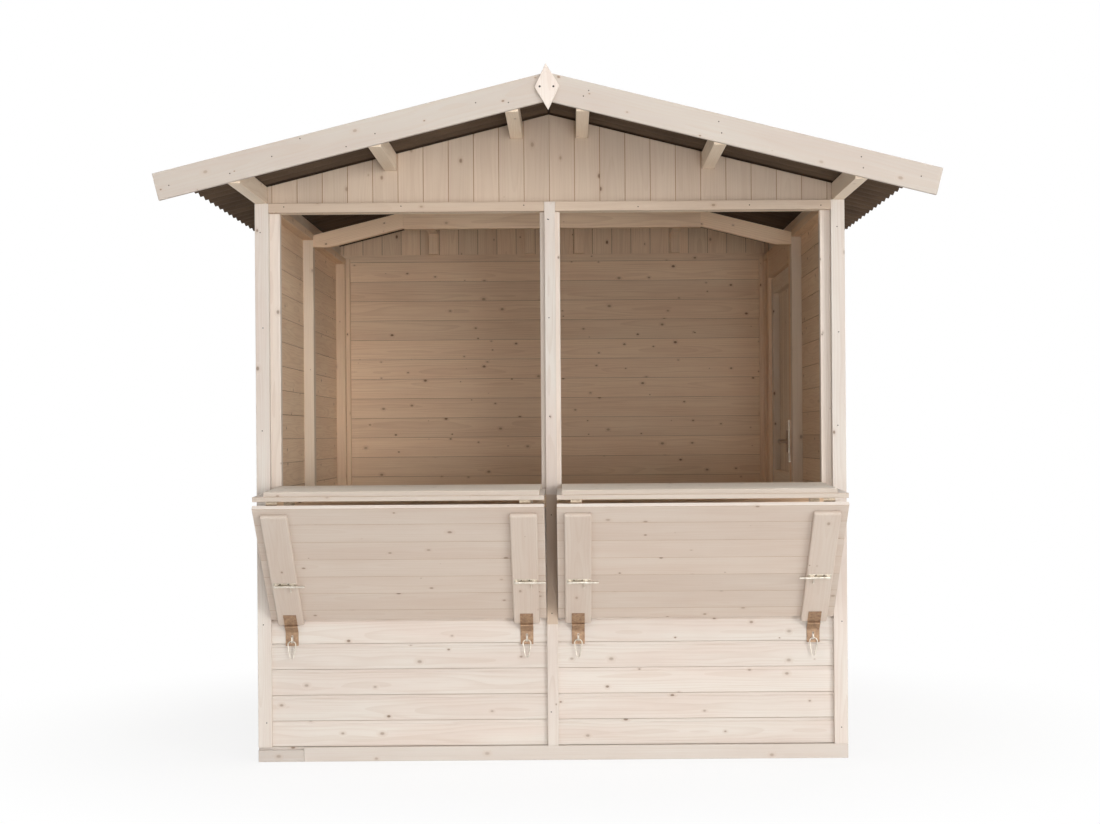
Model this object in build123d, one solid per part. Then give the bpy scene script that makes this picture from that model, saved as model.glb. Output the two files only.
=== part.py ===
"""Wooden market hut with two folding counters, a gable roof and a side door.

Millimetres, +Z up, the front faces -Y. The origin lies on the ground, under the middle
of the roof.
"""
from build123d import *
import math
import os

# Plan and height of the walls
hut_width = 2065.0             # over the corner trims
hut_depth = 2280.0             # front trims to rear trims
wall_height = 1955.0           # ground to the seat of the eaves purlins
counter_height = 931.0         # ground to the bottom edge of a closed shutter
opening_top = 1922.0           # ground to the underside of the front header

# Timber sections
board_thickness = 16.0         # wall cladding, shutters and door boards
trim_thickness = 16.0          # cover strips and corner trims
corner_trim_width = 48.0
centre_strip_width = 38.0
frame_depth = 40.0             # posts and rails, square to the wall
frame_width = 57.0             # posts and rails, along the wall
jamb_reveal = 35.0             # post that shows between a corner trim and an opening
centre_post_width = 70.0
base_rail_height = 50.0
base_rail_width = 60.0
ledge_strip_height = 46.0      # strip under the shutters
sill_height = 34.0             # rail across the foot of an opening
top_rail_height = 28.0         # rails inside the top of the side walls
rear_gable_lift = 19.0         # top of the walls to the foot of the rear gable

# Roof
roof_pitch = 14.0              # degrees
front_overhang = 580.0         # front trims to the face of the front barge boards
rear_overhang = 150.0
eaves_overhang = 164.5         # corner trim to the edge of a roof sheet, level
purlin_width = 42.0
purlin_height = 60.0           # at the uphill face
middle_purlin_x = 557.0        # centre lines of the inner purlins
ridge_purlin_x = 115.0
sheet_thickness = 3.0
wave_height = 30.0
wave_pitch = 95.0              # nearest pitch that fills the roof is used
wave_facets = 8                # flats that make up the curve of one wave
ridge_cap_reach = 105.0
ridge_cap_thickness = 3.0
barge_width = 89.0
barge_thickness = 17.0
barge_overhang = 238.5         # corner trim to the end of a barge board, level
barge_rise = 41.0              # barge top edge above the seat of the sheets
finial_height = 150.0
finial_width = 80.0
finial_thickness = 12.0
finial_rise = 27.0             # finial tip above the barge top edge
finial_tilt = 3.0              # degrees that the diamond is nailed off plumb

# Middle frame
middle_post_y = 1030.0         # front trims to the front of the middle frame
middle_post_width = 60.0
rear_post_width = 57.0
tie_half_length = 597.0
tie_lift = 14.0                # top of the walls to the underside of the tie
chord_top_drop = 76.0          # sheet seat to chord top, plumb
chord_height = 64.0            # plumb
chord_foot_drop = 57.0         # top of the walls down to the level cut under a chord

# Folding counters
shelf_length = 404.0           # lower half of a shutter, folded out
strut_length = 582.0           # upper half of a shutter, leans back to the wall
strut_start = 5.0              # fold knuckle to the top edge of the strut
shelf_droop = 1.5              # degrees
shutter_gap = 1.5              # to the trims on each side
counter_top_thickness = 16.0
counter_top_back = 16.0        # short of the wall end of the shelf
counter_top_gap = 2.0          # to the jambs on each side when shut
counter_top_setback = 8.0      # behind the edge of the shelf
knuckle_diameter = 10.0
hinge_plate = 2.0
hinge_width = 38.0
hinge_leaf = 32.0              # knuckle line to the edge of a leaf
hinge_inset = 64.0             # shutter edge to the middle of a hinge
batten_width = 91.0
batten_thickness = 17.0
batten_inset = 24.0
batten_start = 25.0            # below the top edge of a strut
batten_past = 11.0             # beyond the bottom edge of a strut
seat_gap = 0.3

# Hasps, staples and snap hooks that hold the feet of the struts
hasp_width = 45.0
hasp_plate = 2.5
hasp_leaf = 58.0               # upper leaf, on the batten
hasp_knuckle = 8.0
hasp_tongue = 69.0             # lower leaf, plumb from the knuckle to its end
hasp_bend = 22.0               # plumb from the knuckle to where the lower leaf meets the wall
staple_wire = 4.0
staple_reach = 19.0            # wall to the outside of the staple
staple_height = 24.0
staple_level = 23.0            # hasp end to the middle of the staple
slot_clearance = 2.0           # hasp slot around the staple
hook_wire = 4.0
hook_eye = 15.5                # outer radius of the round end
hook_nose = 8.0                # outer radius of the narrow end
hook_length = 65.0

# Barrel bolts on the battens
bolt_levels = (209.0, 222.0, 221.0, 237.0)     # strut bottom edge to each bolt, left to right
bolt_plate_length = 80.0
bolt_plate_height = 24.0
bolt_plate_thickness = 1.5
bolt_diameter = 7.0
bolt_length = 106.0
bolt_throw = 30.0              # bolt beyond the end of its plate
bolt_lift = 1.0                # plate to the round bolt
guide_width = 9.0
guide_wall = 2.0
handle_length = 24.0
handle_diameter = 5.0

# Door in the right wall
door_gap = 7.0
door_leaf_width = 800.0
door_leaf_height = 1770.0
door_post_width = 57.0         # posts on both sides of the doorway
door_stile_width = 70.0
door_frame_thickness = 28.0
door_hinge_level = 220.0       # leaf edge to the middle of a hinge
door_knuckle_diameter = 12.0
strap_length = 260.0
strap_width = 34.0
strap_tip = 16.0               # width of the far end of a strap
strap_thickness = 3.0
latch_level = 1105.0
keeper_height = 170.0
keeper_width = 22.0
keeper_thickness = 3.0

# Planes and lines worked out from the sizes above
half_width = hut_width / 2
front = -(hut_depth + front_overhang + rear_overhang) / 2 + front_overhang
rear = front + hut_depth
clad_front = front + trim_thickness
frame_front = clad_front + board_thickness
frame_front_back = frame_front + frame_depth
clad_rear = rear - trim_thickness
frame_rear = clad_rear - board_thickness
frame_rear_front = frame_rear - frame_depth
clad_side = half_width - trim_thickness
frame_side = clad_side - board_thickness
frame_side_inner = frame_side - frame_depth
opening_side = half_width - corner_trim_width - jamb_reveal
opening_centre = centre_post_width / 2
barge_front = front - front_overhang
barge_rear = rear + rear_overhang
eaves_reach = half_width + eaves_overhang
barge_reach = half_width + barge_overhang
rear_gable_foot = wall_height + rear_gable_lift
tie_bottom = wall_height + tie_lift
chord_foot = wall_height - chord_foot_drop
slope = math.tan(math.radians(roof_pitch))
eaves_purlin_x = half_width - purlin_width / 2
seat_at_ridge = wall_height + purlin_height + slope * (half_width - purlin_width)
middle_front = front + middle_post_y
middle_back = middle_front + middle_post_width


def seat(x):
    """Height of the plane that the roof sheets lie on."""
    return seat_at_ridge - slope * abs(x)


def block(x_span, y_span, z_span):
    """Square-edged timber between three pairs of planes, in any order."""
    low = [min(span) for span in (x_span, y_span, z_span)]
    size = [max(span) - min(span) for span in (x_span, y_span, z_span)]
    return Pos(*low) * Box(*size, align=(Align.MIN, Align.MIN, Align.MIN))


def prism(outline, y_span):
    """Outline in X and Z, run along Y."""
    start = Plane((0, min(y_span), 0), x_dir=(1, 0, 0), z_dir=(0, -1, 0))
    face = start * make_face(Polyline(*outline, close=True))
    return extrude(face, amount=min(y_span) - max(y_span))


def rod(centre, length, diameter, turn=(0, 0, 0)):
    """Round bar about its middle, along Z unless turned."""
    return Pos(*centre) * Rot(*turn) * Cylinder(diameter / 2, length)


def mirrored_pair(shape):
    """A piece and its image on the other side of the hut."""
    return [shape, mirror(shape, about=Plane.YZ)]


def save(name, solids):
    """Write one node, as a solid or as several that do not touch."""
    solids = solids if isinstance(solids, list) else [solids]
    flat = [solid for shape in solids for solid in shape.solids()]
    export_step(flat[0] if len(flat) == 1 else Compound(children=flat), f"parts/{name}.step")



def base_rails_across():
    """Front and rear ground rails over the whole width."""
    level = (0, base_rail_height)
    across = (-half_width, half_width)
    return [block(across, (front, front + base_rail_width), level),
            block(across, (rear - base_rail_width, rear), level)]


def base_rails_along():
    """Side ground rails, which also make the threshold of the door."""
    along = (front + base_rail_width, rear - base_rail_width)
    rail = block((half_width - base_rail_width, half_width), along, (0, base_rail_height))
    return mirrored_pair(rail)


def front_wall(side):
    """Cladding under one counter, up to the sill."""
    return block((0, side * clad_side), (clad_front, frame_front),
                 (base_rail_height, counter_height))


def front_sills():
    """Rails on the lower cladding, one under each opening."""
    sill = block((opening_centre, opening_side), (clad_front, frame_front_back),
                 (counter_height, counter_height + sill_height))
    return mirrored_pair(sill)


def front_packers():
    """Strips that fill the cladding's depth behind the trims, beside the openings."""
    upright = (counter_height, opening_top)
    depth = (clad_front, frame_front)
    side = block((half_width - corner_trim_width, clad_side), depth, upright)
    centre = block((-centre_strip_width / 2, centre_strip_width / 2), depth, upright)
    return mirrored_pair(side) + [centre]


def front_posts():
    """Corner posts and centre post behind the cladding."""
    depth = (frame_front, frame_front_back)
    side = block((opening_side, frame_side), depth, (base_rail_height, wall_height))
    centre = block((-opening_centre, opening_centre), depth, (base_rail_height, opening_top))
    return mirrored_pair(side) + [centre]


def front_header():
    """Beam over the openings, between the corner posts."""
    return block((-opening_side, opening_side), (frame_front, frame_front_back),
                 (opening_top, opening_top + frame_width))


def header_strip():
    """Cover strip over the openings, between the corner trims."""
    reach = half_width - corner_trim_width
    return block((-reach, reach), (front, clad_front), (opening_top, wall_height))


def centre_strip():
    """Cover strip down the middle of the front."""
    half = centre_strip_width / 2
    return block((-half, half), (front, clad_front), (base_rail_height, opening_top))


def ledge_strips():
    """Strips that carry the hinges of the shutters."""
    inner = centre_strip_width / 2
    outer = half_width - corner_trim_width
    strip = block((inner, outer), (front, clad_front),
                  (counter_height - ledge_strip_height, counter_height))
    return mirrored_pair(strip)


def corner_trims_face():
    """Trims on the front and rear faces of the corners."""
    trims = []
    for depth in ((front, clad_front), (clad_rear, rear)):
        trim = block((half_width - corner_trim_width, half_width), depth,
                     (base_rail_height, wall_height))
        trims += mirrored_pair(trim)
    return trims


def corner_trims_side():
    """Trims on the side faces of the corners, behind the face trims."""
    trims = []
    for depth in ((clad_front, clad_front + corner_trim_width),
                  (clad_rear - corner_trim_width, clad_rear)):
        trim = block((clad_side, half_width), depth, (base_rail_height, wall_height))
        trims += mirrored_pair(trim)
    return trims


def gable(depth, low):
    """Vertical cladding of one gable above its foot, notched over the purlins."""
    eaves_x = clad_side
    outline = [(-eaves_x, low), (eaves_x, low), (eaves_x, seat(eaves_x)),
               (0, seat_at_ridge), (-eaves_x, seat(eaves_x))]
    panel = prism(outline, depth)
    for x in purlin_lines():
        panel -= purlin(x, (min(depth) - 1, max(depth) + 1))
    return panel


def gable_studs():
    """Short studs that carry the inner purlins at both gables."""
    studs = []
    half = purlin_width / 2
    for depth, bottom in (((frame_front, frame_front_back), opening_top + frame_width),
                          ((frame_rear_front, frame_rear), rear_gable_foot)):
        for x in (ridge_purlin_x, middle_purlin_x):
            stud = block((x - half, x + half), depth, (bottom, purlin_bottom(x)))
            studs += mirrored_pair(stud)
    return studs


def left_wall():
    """Side cladding without an opening."""
    return block((-clad_side, -frame_side), (frame_front, frame_rear),
                 (base_rail_height, wall_height))


def door_span():
    """Front and rear edges of the doorway in the right wall."""
    near = middle_back + door_post_width
    return near, near + door_leaf_width + 2 * door_gap


def door_posts():
    """Posts of the right wall on both sides of the doorway."""
    near, far = door_span()
    across = (frame_side_inner, frame_side)
    level = (base_rail_height, wall_height)
    return [block(across, (near - door_post_width, near), level),
            block(across, (far, far + door_post_width), level)]


def right_wall_front():
    """Side cladding from the front corner to the doorway."""
    return block((frame_side, clad_side), (frame_front, door_span()[0]),
                 (base_rail_height, wall_height))


def right_wall_rear():
    """Side cladding from the doorway to the rear corner."""
    return block((frame_side, clad_side), (door_span()[1], frame_rear),
                 (base_rail_height, wall_height))


def door_top():
    """Height of the top of the doorway."""
    return base_rail_height + 2 * door_gap + door_leaf_height


def right_wall_over_door():
    """Side cladding over the doorway."""
    return block((frame_side, clad_side), door_span(), (door_top(), wall_height))


def door_head():
    """Rail over the doorway, between the posts."""
    return block((frame_side_inner, frame_side), door_span(), (door_top(), wall_height))


def side_top_rails():
    """Rails inside the top of the side walls, between the posts."""
    level = (wall_height - top_rail_height, wall_height)
    across = (frame_side_inner, frame_side)
    rear_post = frame_rear_front - rear_post_width
    front_bay = block(across, (frame_front_back, middle_front), level)
    left_rear_bay = block((-frame_side_inner, -frame_side), (middle_back, rear_post), level)
    right_rear_bay = block(across, (door_span()[1] + door_post_width, rear_post), level)
    return mirrored_pair(front_bay) + [left_rear_bay, right_rear_bay]


def rear_side_posts():
    """Posts of the side walls at the rear corners."""
    depth = (frame_rear_front - rear_post_width, frame_rear_front)
    post = block((frame_side_inner, frame_side), depth, (base_rail_height, wall_height))
    return mirrored_pair(post)


def rear_wall():
    """Rear cladding under the gable, notched under the eaves purlins."""
    wall = block((-clad_side, clad_side), (frame_rear, clad_rear),
                 (base_rail_height, rear_gable_foot))
    for x in (-eaves_purlin_x, eaves_purlin_x):
        wall -= purlin(x, (frame_rear - 1, clad_rear + 1))
    return wall


def rear_posts():
    """Posts of the rear wall at its corners."""
    width = (frame_side - rear_post_width, frame_side)
    return mirrored_pair(block(width, (frame_rear_front, frame_rear),
                               (base_rail_height, wall_height)))


def middle_posts():
    """Side posts at half depth, from the ground rails to the eaves purlins."""
    post = block((frame_side_inner, frame_side), (middle_front, middle_back),
                 (base_rail_height, wall_height))
    return mirrored_pair(post)


def truss_chords():
    """Sloping chords with a level foot, between the posts and the tie."""
    outer = frame_side_inner
    inner = tie_half_length

    def top(x):
        return seat(x) - chord_top_drop

    foot_x = (seat_at_ridge - chord_top_drop - chord_height - chord_foot) / slope
    outline = [(outer, top(outer)), (inner, top(inner)), (inner, top(inner) - chord_height),
               (foot_x, chord_foot), (outer, chord_foot)]
    return mirrored_pair(prism(outline, (middle_front, middle_front + frame_depth)))


def truss_tie():
    """Level board between the chords, under the middle purlins."""
    return block((-tie_half_length, tie_half_length),
                 (middle_front, middle_front + frame_depth),
                 (tie_bottom, purlin_bottom(middle_purlin_x)))


def purlin_lines():
    """Centre lines of the six purlins."""
    half = [ridge_purlin_x, middle_purlin_x, eaves_purlin_x]
    return [-x for x in half] + half


def purlin_bottom(x):
    """Underside of the purlin whose centre line is at x."""
    return seat(abs(x) - purlin_width / 2) - purlin_height


def purlin(x, y_span):
    """Plumb timber whose top is bevelled to the roof."""
    half = purlin_width / 2
    low = purlin_bottom(x)
    outline = [(x - half, low), (x + half, low), (x + half, seat(x + half)),
               (x - half, seat(x - half))]
    return prism(outline, y_span)


def purlin_pair(x):
    """One purlin on each slope, from barge board to barge board."""
    return mirrored_pair(purlin(x, roof_span()))


def wave_points(length, count, offset):
    """Points along one face of a corrugated sheet, from crest to crest."""
    rise = (wave_height - sheet_thickness) / 2
    points = []
    for index in range(count * wave_facets + 1):
        turn = 2 * math.pi * index / wave_facets
        along = length * index / (count * wave_facets)
        steep = -rise * math.sin(turn) * 2 * math.pi * count / length
        lean = math.atan(steep)
        points.append((along - offset * math.sin(lean),
                       wave_height / 2 + rise * math.cos(turn) + offset * math.cos(lean)))
    return points


def roof_span():
    """Front and rear ends of the purlins, sheets and ridge cap, between the barge boards."""
    return barge_front + barge_thickness, barge_rear - barge_thickness


def roof_sheet(side):
    """Corrugated sheet of one slope: its waves lie side by side along the ridge."""
    near, far = roof_span()
    count = round((far - near) / wave_pitch)
    half = sheet_thickness / 2
    upper = wave_points(far - near, count, half)
    lower = wave_points(far - near, count, -half)
    profile = make_face(Polyline(*upper, *reversed(lower), close=True))
    section = Plane(origin=(sheet_thickness, 0, 0), x_dir=(0, 1, 0), z_dir=(1, 0, 0)) * profile
    down_slope = eaves_reach / math.cos(math.radians(roof_pitch)) - sheet_thickness
    sheet = Pos(0, near, seat_at_ridge) * Rot(0, roof_pitch, 0) * extrude(section, down_slope)
    return sheet if side > 0 else mirror(sheet, about=Plane.YZ)


def ridge_cap():
    """Angled cap over the top of both sheets."""
    crest = wave_height / math.cos(math.radians(roof_pitch))
    thickness = ridge_cap_thickness / math.cos(math.radians(roof_pitch))
    reach = ridge_cap_reach
    lower = seat_at_ridge + crest
    outline = [(-reach, lower - slope * reach), (0, lower), (reach, lower - slope * reach),
               (reach, lower - slope * reach + thickness), (0, lower + thickness),
               (-reach, lower - slope * reach + thickness)]
    return prism(outline, roof_span())


def barge_board(side, at_rear):
    """Sloping board over the purlin ends: cut plumb at the ridge and square at the eaves."""
    face = barge_rear if at_rear else barge_front
    depth = (face, face - barge_thickness if at_rear else face + barge_thickness)
    angle = math.radians(roof_pitch)
    top = seat_at_ridge + barge_rise
    corner = (barge_reach, top - slope * barge_reach)
    lower_corner = (corner[0] - barge_width * math.sin(angle),
                    corner[1] - barge_width * math.cos(angle))
    outline = [(0, top), corner, lower_corner, (0, top - barge_width / math.cos(angle))]
    return prism([(side * x, z) for x, z in outline], depth)


def finial(at_rear):
    """Diamond nailed over the joint of two barge boards."""
    face = barge_rear if at_rear else barge_front
    depth = (face, face + finial_thickness if at_rear else face - finial_thickness)
    middle = seat_at_ridge + barge_rise + finial_rise - finial_height / 2
    half_height = finial_height / 2
    half = finial_width / 2
    diamond = prism([(0, half_height), (half, 0), (0, -half_height), (-half, 0)], depth)
    return Pos(0, 0, middle) * Rot(0, -finial_tilt, 0) * diamond


# Each counter is one shutter that is folded out. The lower half is the shelf and turns on
# the ledge strip. The upper half hangs from its edge as a strut and leans on the wall.

shutter_inner = centre_strip_width / 2 + shutter_gap
shutter_outer = half_width - corner_trim_width - shutter_gap
knuckle_radius = knuckle_diameter / 2
wall_knuckle = (front - knuckle_radius, counter_height - 2)


def on_shelf(shape):
    """Turn a piece that is drawn on the level shelf about the wall knuckle."""
    y, z = wall_knuckle
    return Pos(0, y, z) * Rot(shelf_droop, 0, 0) * shape


shelf_back = -2.0                               # from the wall knuckle, along the shelf
shelf_edge = shelf_back - shelf_length
fold_back = shelf_edge - 2.0                    # fold knuckle, under the shelf edge
droop = math.radians(shelf_droop)
fold_knuckle = (wall_knuckle[0] + fold_back * math.cos(droop),
                wall_knuckle[1] + fold_back * math.sin(droop))


def strut_lean():
    """Angle of the strut from plumb at which its foot meets the cladding."""
    reach = clad_front - seat_gap - fold_knuckle[0]
    length = strut_start + strut_length + batten_past
    thickness = knuckle_radius
    return math.degrees(math.asin(reach / math.hypot(length, thickness))
                        + math.atan2(thickness, length))


def on_strut(shape):
    """Place a piece drawn on a hanging strut: Z up to the fold knuckle, -Y to the front."""
    y, z = fold_knuckle
    return Pos(0, y, z) * Rot(strut_lean(), 0, 0) * shape


def both_sides(shape):
    """The right-hand piece and its image on the left."""
    return mirrored_pair(shape)


def counter_shelves():
    """Lower halves of the shutters."""
    shelf = block((shutter_inner, shutter_outer), (shelf_back, shelf_edge),
                  (knuckle_radius, knuckle_radius + board_thickness))
    return both_sides(on_shelf(shelf))


def counter_tops():
    """Inner boards that fill an opening when shut and make the top of the counter."""
    low = knuckle_radius + board_thickness
    inner = opening_centre + counter_top_gap
    outer = opening_side - counter_top_gap
    edge = shelf_edge + counter_top_setback
    top = block((inner, outer), (edge, shelf_back - counter_top_back),
                (low, low + counter_top_thickness))
    return both_sides(on_shelf(top))


def counter_struts():
    """Upper halves of the shutters, hung from the edge of the shelf."""
    panel = block((shutter_inner, shutter_outer),
                  (-knuckle_radius - board_thickness, -knuckle_radius),
                  (-strut_start - strut_length, -strut_start))
    return both_sides(on_strut(panel))


def batten_lines():
    """Inner edges of the two battens of the right-hand strut."""
    return (shutter_inner + batten_inset, shutter_outer - batten_inset - batten_width)


def strut_battens():
    """Two battens on the face of each strut."""
    face = -knuckle_radius - board_thickness
    battens = []
    for edge in batten_lines():
        batten = block((edge, edge + batten_width), (face - batten_thickness, face),
                       (-strut_start - strut_length - batten_past,
                        -strut_start - batten_start))
        battens += both_sides(on_strut(batten))
    return battens


def hinge_lines():
    """Middle lines of the hinges of the right-hand shutter."""
    return (shutter_inner + hinge_inset, shutter_outer - hinge_inset)


def counter_hinges():
    """Hinges from the ledge strips to the shelves, and from the shelves to the struts."""
    hinges = []
    under = (knuckle_radius - hinge_plate, knuckle_radius)
    for x in hinge_lines():
        width = (x - hinge_width / 2, x + hinge_width / 2)
        y, z = wall_knuckle
        knuckle = rod((x, y, z), hinge_width, knuckle_diameter, (0, 90, 0))
        fixed = block(width, (front - hinge_plate, front), (z - hinge_leaf, z))
        moving = on_shelf(block(width, (-hinge_leaf, 0), under))
        hinges += both_sides(knuckle + fixed + moving)
        y, z = fold_knuckle
        knuckle = rod((x, y, z), hinge_width, knuckle_diameter, (0, 90, 0))
        upper = on_shelf(block(width, (fold_back, fold_back + hinge_leaf), under))
        lower = on_strut(block(width, (-knuckle_radius, -knuckle_radius + hinge_plate),
                               (-hinge_leaf, 0)))
        hinges += both_sides(knuckle + upper + lower)
    return hinges


def batten_foot():
    """Y and Z of the lower front edge of a batten, where its hasp turns."""
    face = -knuckle_radius - board_thickness - batten_thickness
    foot = -strut_start - strut_length - batten_past
    lean = math.radians(strut_lean())
    return (fold_knuckle[0] + face * math.cos(lean) - foot * math.sin(lean),
            fold_knuckle[1] + face * math.sin(lean) + foot * math.cos(lean))


def batten_middles():
    """Middle lines of the battens of the right-hand strut."""
    return [edge + batten_width / 2 for edge in batten_lines()]


def hasp_end():
    """Height of the lower end of a hasp."""
    return batten_foot()[1] - hasp_knuckle / 2 - hasp_tongue


def staple_middle():
    """Height of the middle of a staple."""
    return hasp_end() + staple_level


def strut_hasps():
    """Hinged hasps: upper leaf on a batten, lower leaf bent to the wall and slotted."""
    foot_y, foot_z = batten_foot()
    axis_y = foot_y - hasp_knuckle / 2
    axis_z = foot_z - hasp_knuckle / 2
    wall = clad_front - seat_gap
    bend = axis_z - hasp_bend
    face = -knuckle_radius - board_thickness - batten_thickness
    foot = -strut_start - strut_length - batten_past
    slot = (staple_middle() - staple_height / 2 - slot_clearance,
            staple_middle() + staple_height / 2 + slot_clearance)
    lower = [(axis_y, axis_z), (wall - hasp_plate, bend), (wall - hasp_plate, hasp_end()),
             (wall, hasp_end()), (wall, bend), (axis_y + hasp_plate, axis_z)]
    side = Plane((0, 0, 0), x_dir=(0, 1, 0), z_dir=(1, 0, 0))
    hasps = []
    for x in batten_middles():
        width = (x - hasp_width / 2, x + hasp_width / 2)
        tongue = Pos(width[0], 0, 0) * extrude(side * make_face(Polyline(*lower, close=True)),
                                               hasp_width)
        half_slot = staple_wire / 2 + slot_clearance
        tongue -= block((x - half_slot, x + half_slot),
                        (wall - 2 * hasp_plate, wall + 1), slot)
        leaf = on_strut(block(width, (face - hasp_plate, face), (foot - 1, foot + hasp_leaf)))
        knuckle = rod((x, axis_y, axis_z), hasp_width, hasp_knuckle, (0, 90, 0))
        hasps += both_sides(tongue + knuckle + leaf)
    return hasps


def wall_staples():
    """Square wire staples that stand out of the cladding through the hasps."""
    half_wire = staple_wire / 2
    wall = clad_front
    tip = wall - staple_reach + half_wire
    half = staple_height / 2 - half_wire
    middle = staple_middle()
    side = Plane((0, 0, 0), x_dir=(0, 1, 0), z_dir=(1, 0, 0))
    route = side * Polyline((wall, middle + half), (tip, middle + half),
                            (tip, middle - half), (wall, middle - half))
    end = Plane((0, wall, middle + half), x_dir=(1, 0, 0), z_dir=(0, -1, 0))
    staple = sweep(end * Circle(half_wire), path=route, transition=Transition.RIGHT)
    return [Pos(side_of * x, 0, 0) * staple for x in batten_middles() for side_of in (1, -1)]


def hook_outline(eye, nose, eye_height, nose_height):
    """Pear-shaped outline round two circles."""
    return make_hull([Pos(0, eye_height) * Edge.make_circle(eye),
                      Pos(0, nose_height) * Edge.make_circle(nose)])


def snap_hooks():
    """Closed hooks that hang in the staples, round end up."""
    inside_staple = staple_middle() - staple_height / 2 + staple_wire
    eye_height = inside_staple + seat_gap - (hook_eye - hook_wire)
    nose_height = eye_height - (hook_length - hook_eye - hook_nose)
    ring = hook_outline(hook_eye, hook_nose, eye_height, nose_height)
    ring -= hook_outline(hook_eye - hook_wire, hook_nose - hook_wire, eye_height, nose_height)
    inside_tip = clad_front - staple_reach + staple_wire + seat_gap
    face = Plane((0, inside_tip + hook_wire, 0), x_dir=(1, 0, 0), z_dir=(0, -1, 0))
    hook = extrude(face * ring, hook_wire)
    return [Pos(side_of * x, 0, 0) * hook for x in batten_middles() for side_of in (1, -1)]


def barrel_bolt(x, lift, throw_side):
    """Barrel bolt on a batten: plate, two guides, round bolt and a hanging handle."""
    face = -knuckle_radius - board_thickness - batten_thickness
    level = -strut_start - strut_length + lift
    half = bolt_plate_length / 2
    plate = block((x - half, x + half), (face - bolt_plate_thickness, face),
                  (level - bolt_plate_height / 2, level + bolt_plate_height / 2))
    axis = face - bolt_plate_thickness - bolt_lift - bolt_diameter / 2
    middle = x + throw_side * (half + bolt_throw - bolt_length / 2)
    bolt = plate + rod((middle, axis, level), bolt_length, bolt_diameter, (0, 90, 0))
    for guide in (x + half - guide_width, x - half + guide_width):
        housing = block((guide - guide_width / 2, guide + guide_width / 2),
                        (axis - bolt_diameter / 2 - guide_wall, face - bolt_plate_thickness / 2),
                        (level - bolt_diameter / 2 - guide_wall,
                         level + bolt_diameter / 2 + guide_wall))
        bolt += housing
    handle_x = x + throw_side * (half / 2)
    bolt += rod((handle_x, axis, level - handle_length / 2), handle_length, handle_diameter)
    return on_strut(bolt)


def slide_bolts():
    """One barrel bolt on each batten: all point to the right but the last, as fitted."""
    near, far = batten_middles()
    places = ((-far, 1), (-near, 1), (near, 1), (far, -1))
    return [barrel_bolt(x, lift, throw_side)
            for (x, throw_side), lift in zip(places, bolt_levels)]


def door_edges():
    """Front and rear edges of the leaf."""
    low, high = door_span()
    return low + door_gap, high - door_gap


def door_levels():
    """Bottom and top of the leaf."""
    low = base_rail_height + door_gap
    return low, low + door_leaf_height


def door_leaf():
    """Boards of the leaf, flush with the wall cladding."""
    return block((frame_side, clad_side), door_edges(), door_levels())


def door_stiles():
    """Upright battens inside both edges of the leaf."""
    depth = (frame_side - door_frame_thickness, frame_side)
    near, far = door_edges()
    return [block(depth, (near, near + door_stile_width), door_levels()),
            block(depth, (far - door_stile_width, far), door_levels())]


def door_ledges():
    """Three level battens between the stiles."""
    depth = (frame_side - door_frame_thickness, frame_side)
    near, far = door_edges()
    low, high = door_levels()
    span = (near + door_stile_width, far - door_stile_width)
    middle = (low + high - door_stile_width) / 2
    return [block(depth, span, (level, level + door_stile_width))
            for level in (low, middle, high - door_stile_width)]


def door_axis():
    """Hinge line of the door, outside the rear edge of the leaf."""
    return clad_side + door_knuckle_diameter / 2, door_span()[1] - door_gap / 2


def door_hinge_levels():
    """Heights of the two hinges."""
    low, high = door_levels()
    return low + door_hinge_level, high - door_hinge_level


def door_straps():
    """Tapered straps on the leaf, each with the middle knuckle of its hinge."""
    x, y = door_axis()
    face = Plane((clad_side, 0, 0), x_dir=(0, 1, 0), z_dir=(1, 0, 0))
    straps = []
    for level in door_hinge_levels():
        tip = y - strap_length + strap_tip / 2
        outline = [(y, level - strap_width / 2), (y, level + strap_width / 2),
                   (tip, level + strap_tip / 2), (tip, level - strap_tip / 2)]
        strap = extrude(face * make_face(Polyline(*outline, close=True)), strap_thickness)
        strap += rod((clad_side + strap_thickness / 2, tip, level), strap_thickness, strap_tip,
                     (0, 90, 0))
        knuckle = rod((x, y, level), strap_width, door_knuckle_diameter)
        straps.append(strap + knuckle)
    return straps


def door_hinge_plates():
    """Plates on the wall, each with the upper and lower knuckle of its hinge."""
    x, y = door_axis()
    depth = (clad_side, clad_side + strap_thickness)
    plates = []
    for level in door_hinge_levels():
        reach = strap_width / 2 + 1
        height = strap_width / 2 + 26
        plate = block(depth, (y + door_gap / 2 + 2, y + 40), (level - height, level + height))
        for turn in (-1, 1):
            centre = level + turn * (reach + height) / 2
            plate += rod((x, y, centre), height - reach, door_knuckle_diameter)
            plate += block(depth, (y, y + 40), (level + turn * reach, level + turn * height))
        plates.append(plate)
    return plates


def door_keeper():
    """Long keeper plate on the post, beside the latch."""
    near = door_span()[0]
    inner = frame_side_inner
    return block((inner - keeper_thickness, inner), (near - keeper_width - 2, near - 2),
                 (latch_level - keeper_height / 2, latch_level + keeper_height / 2))


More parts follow.
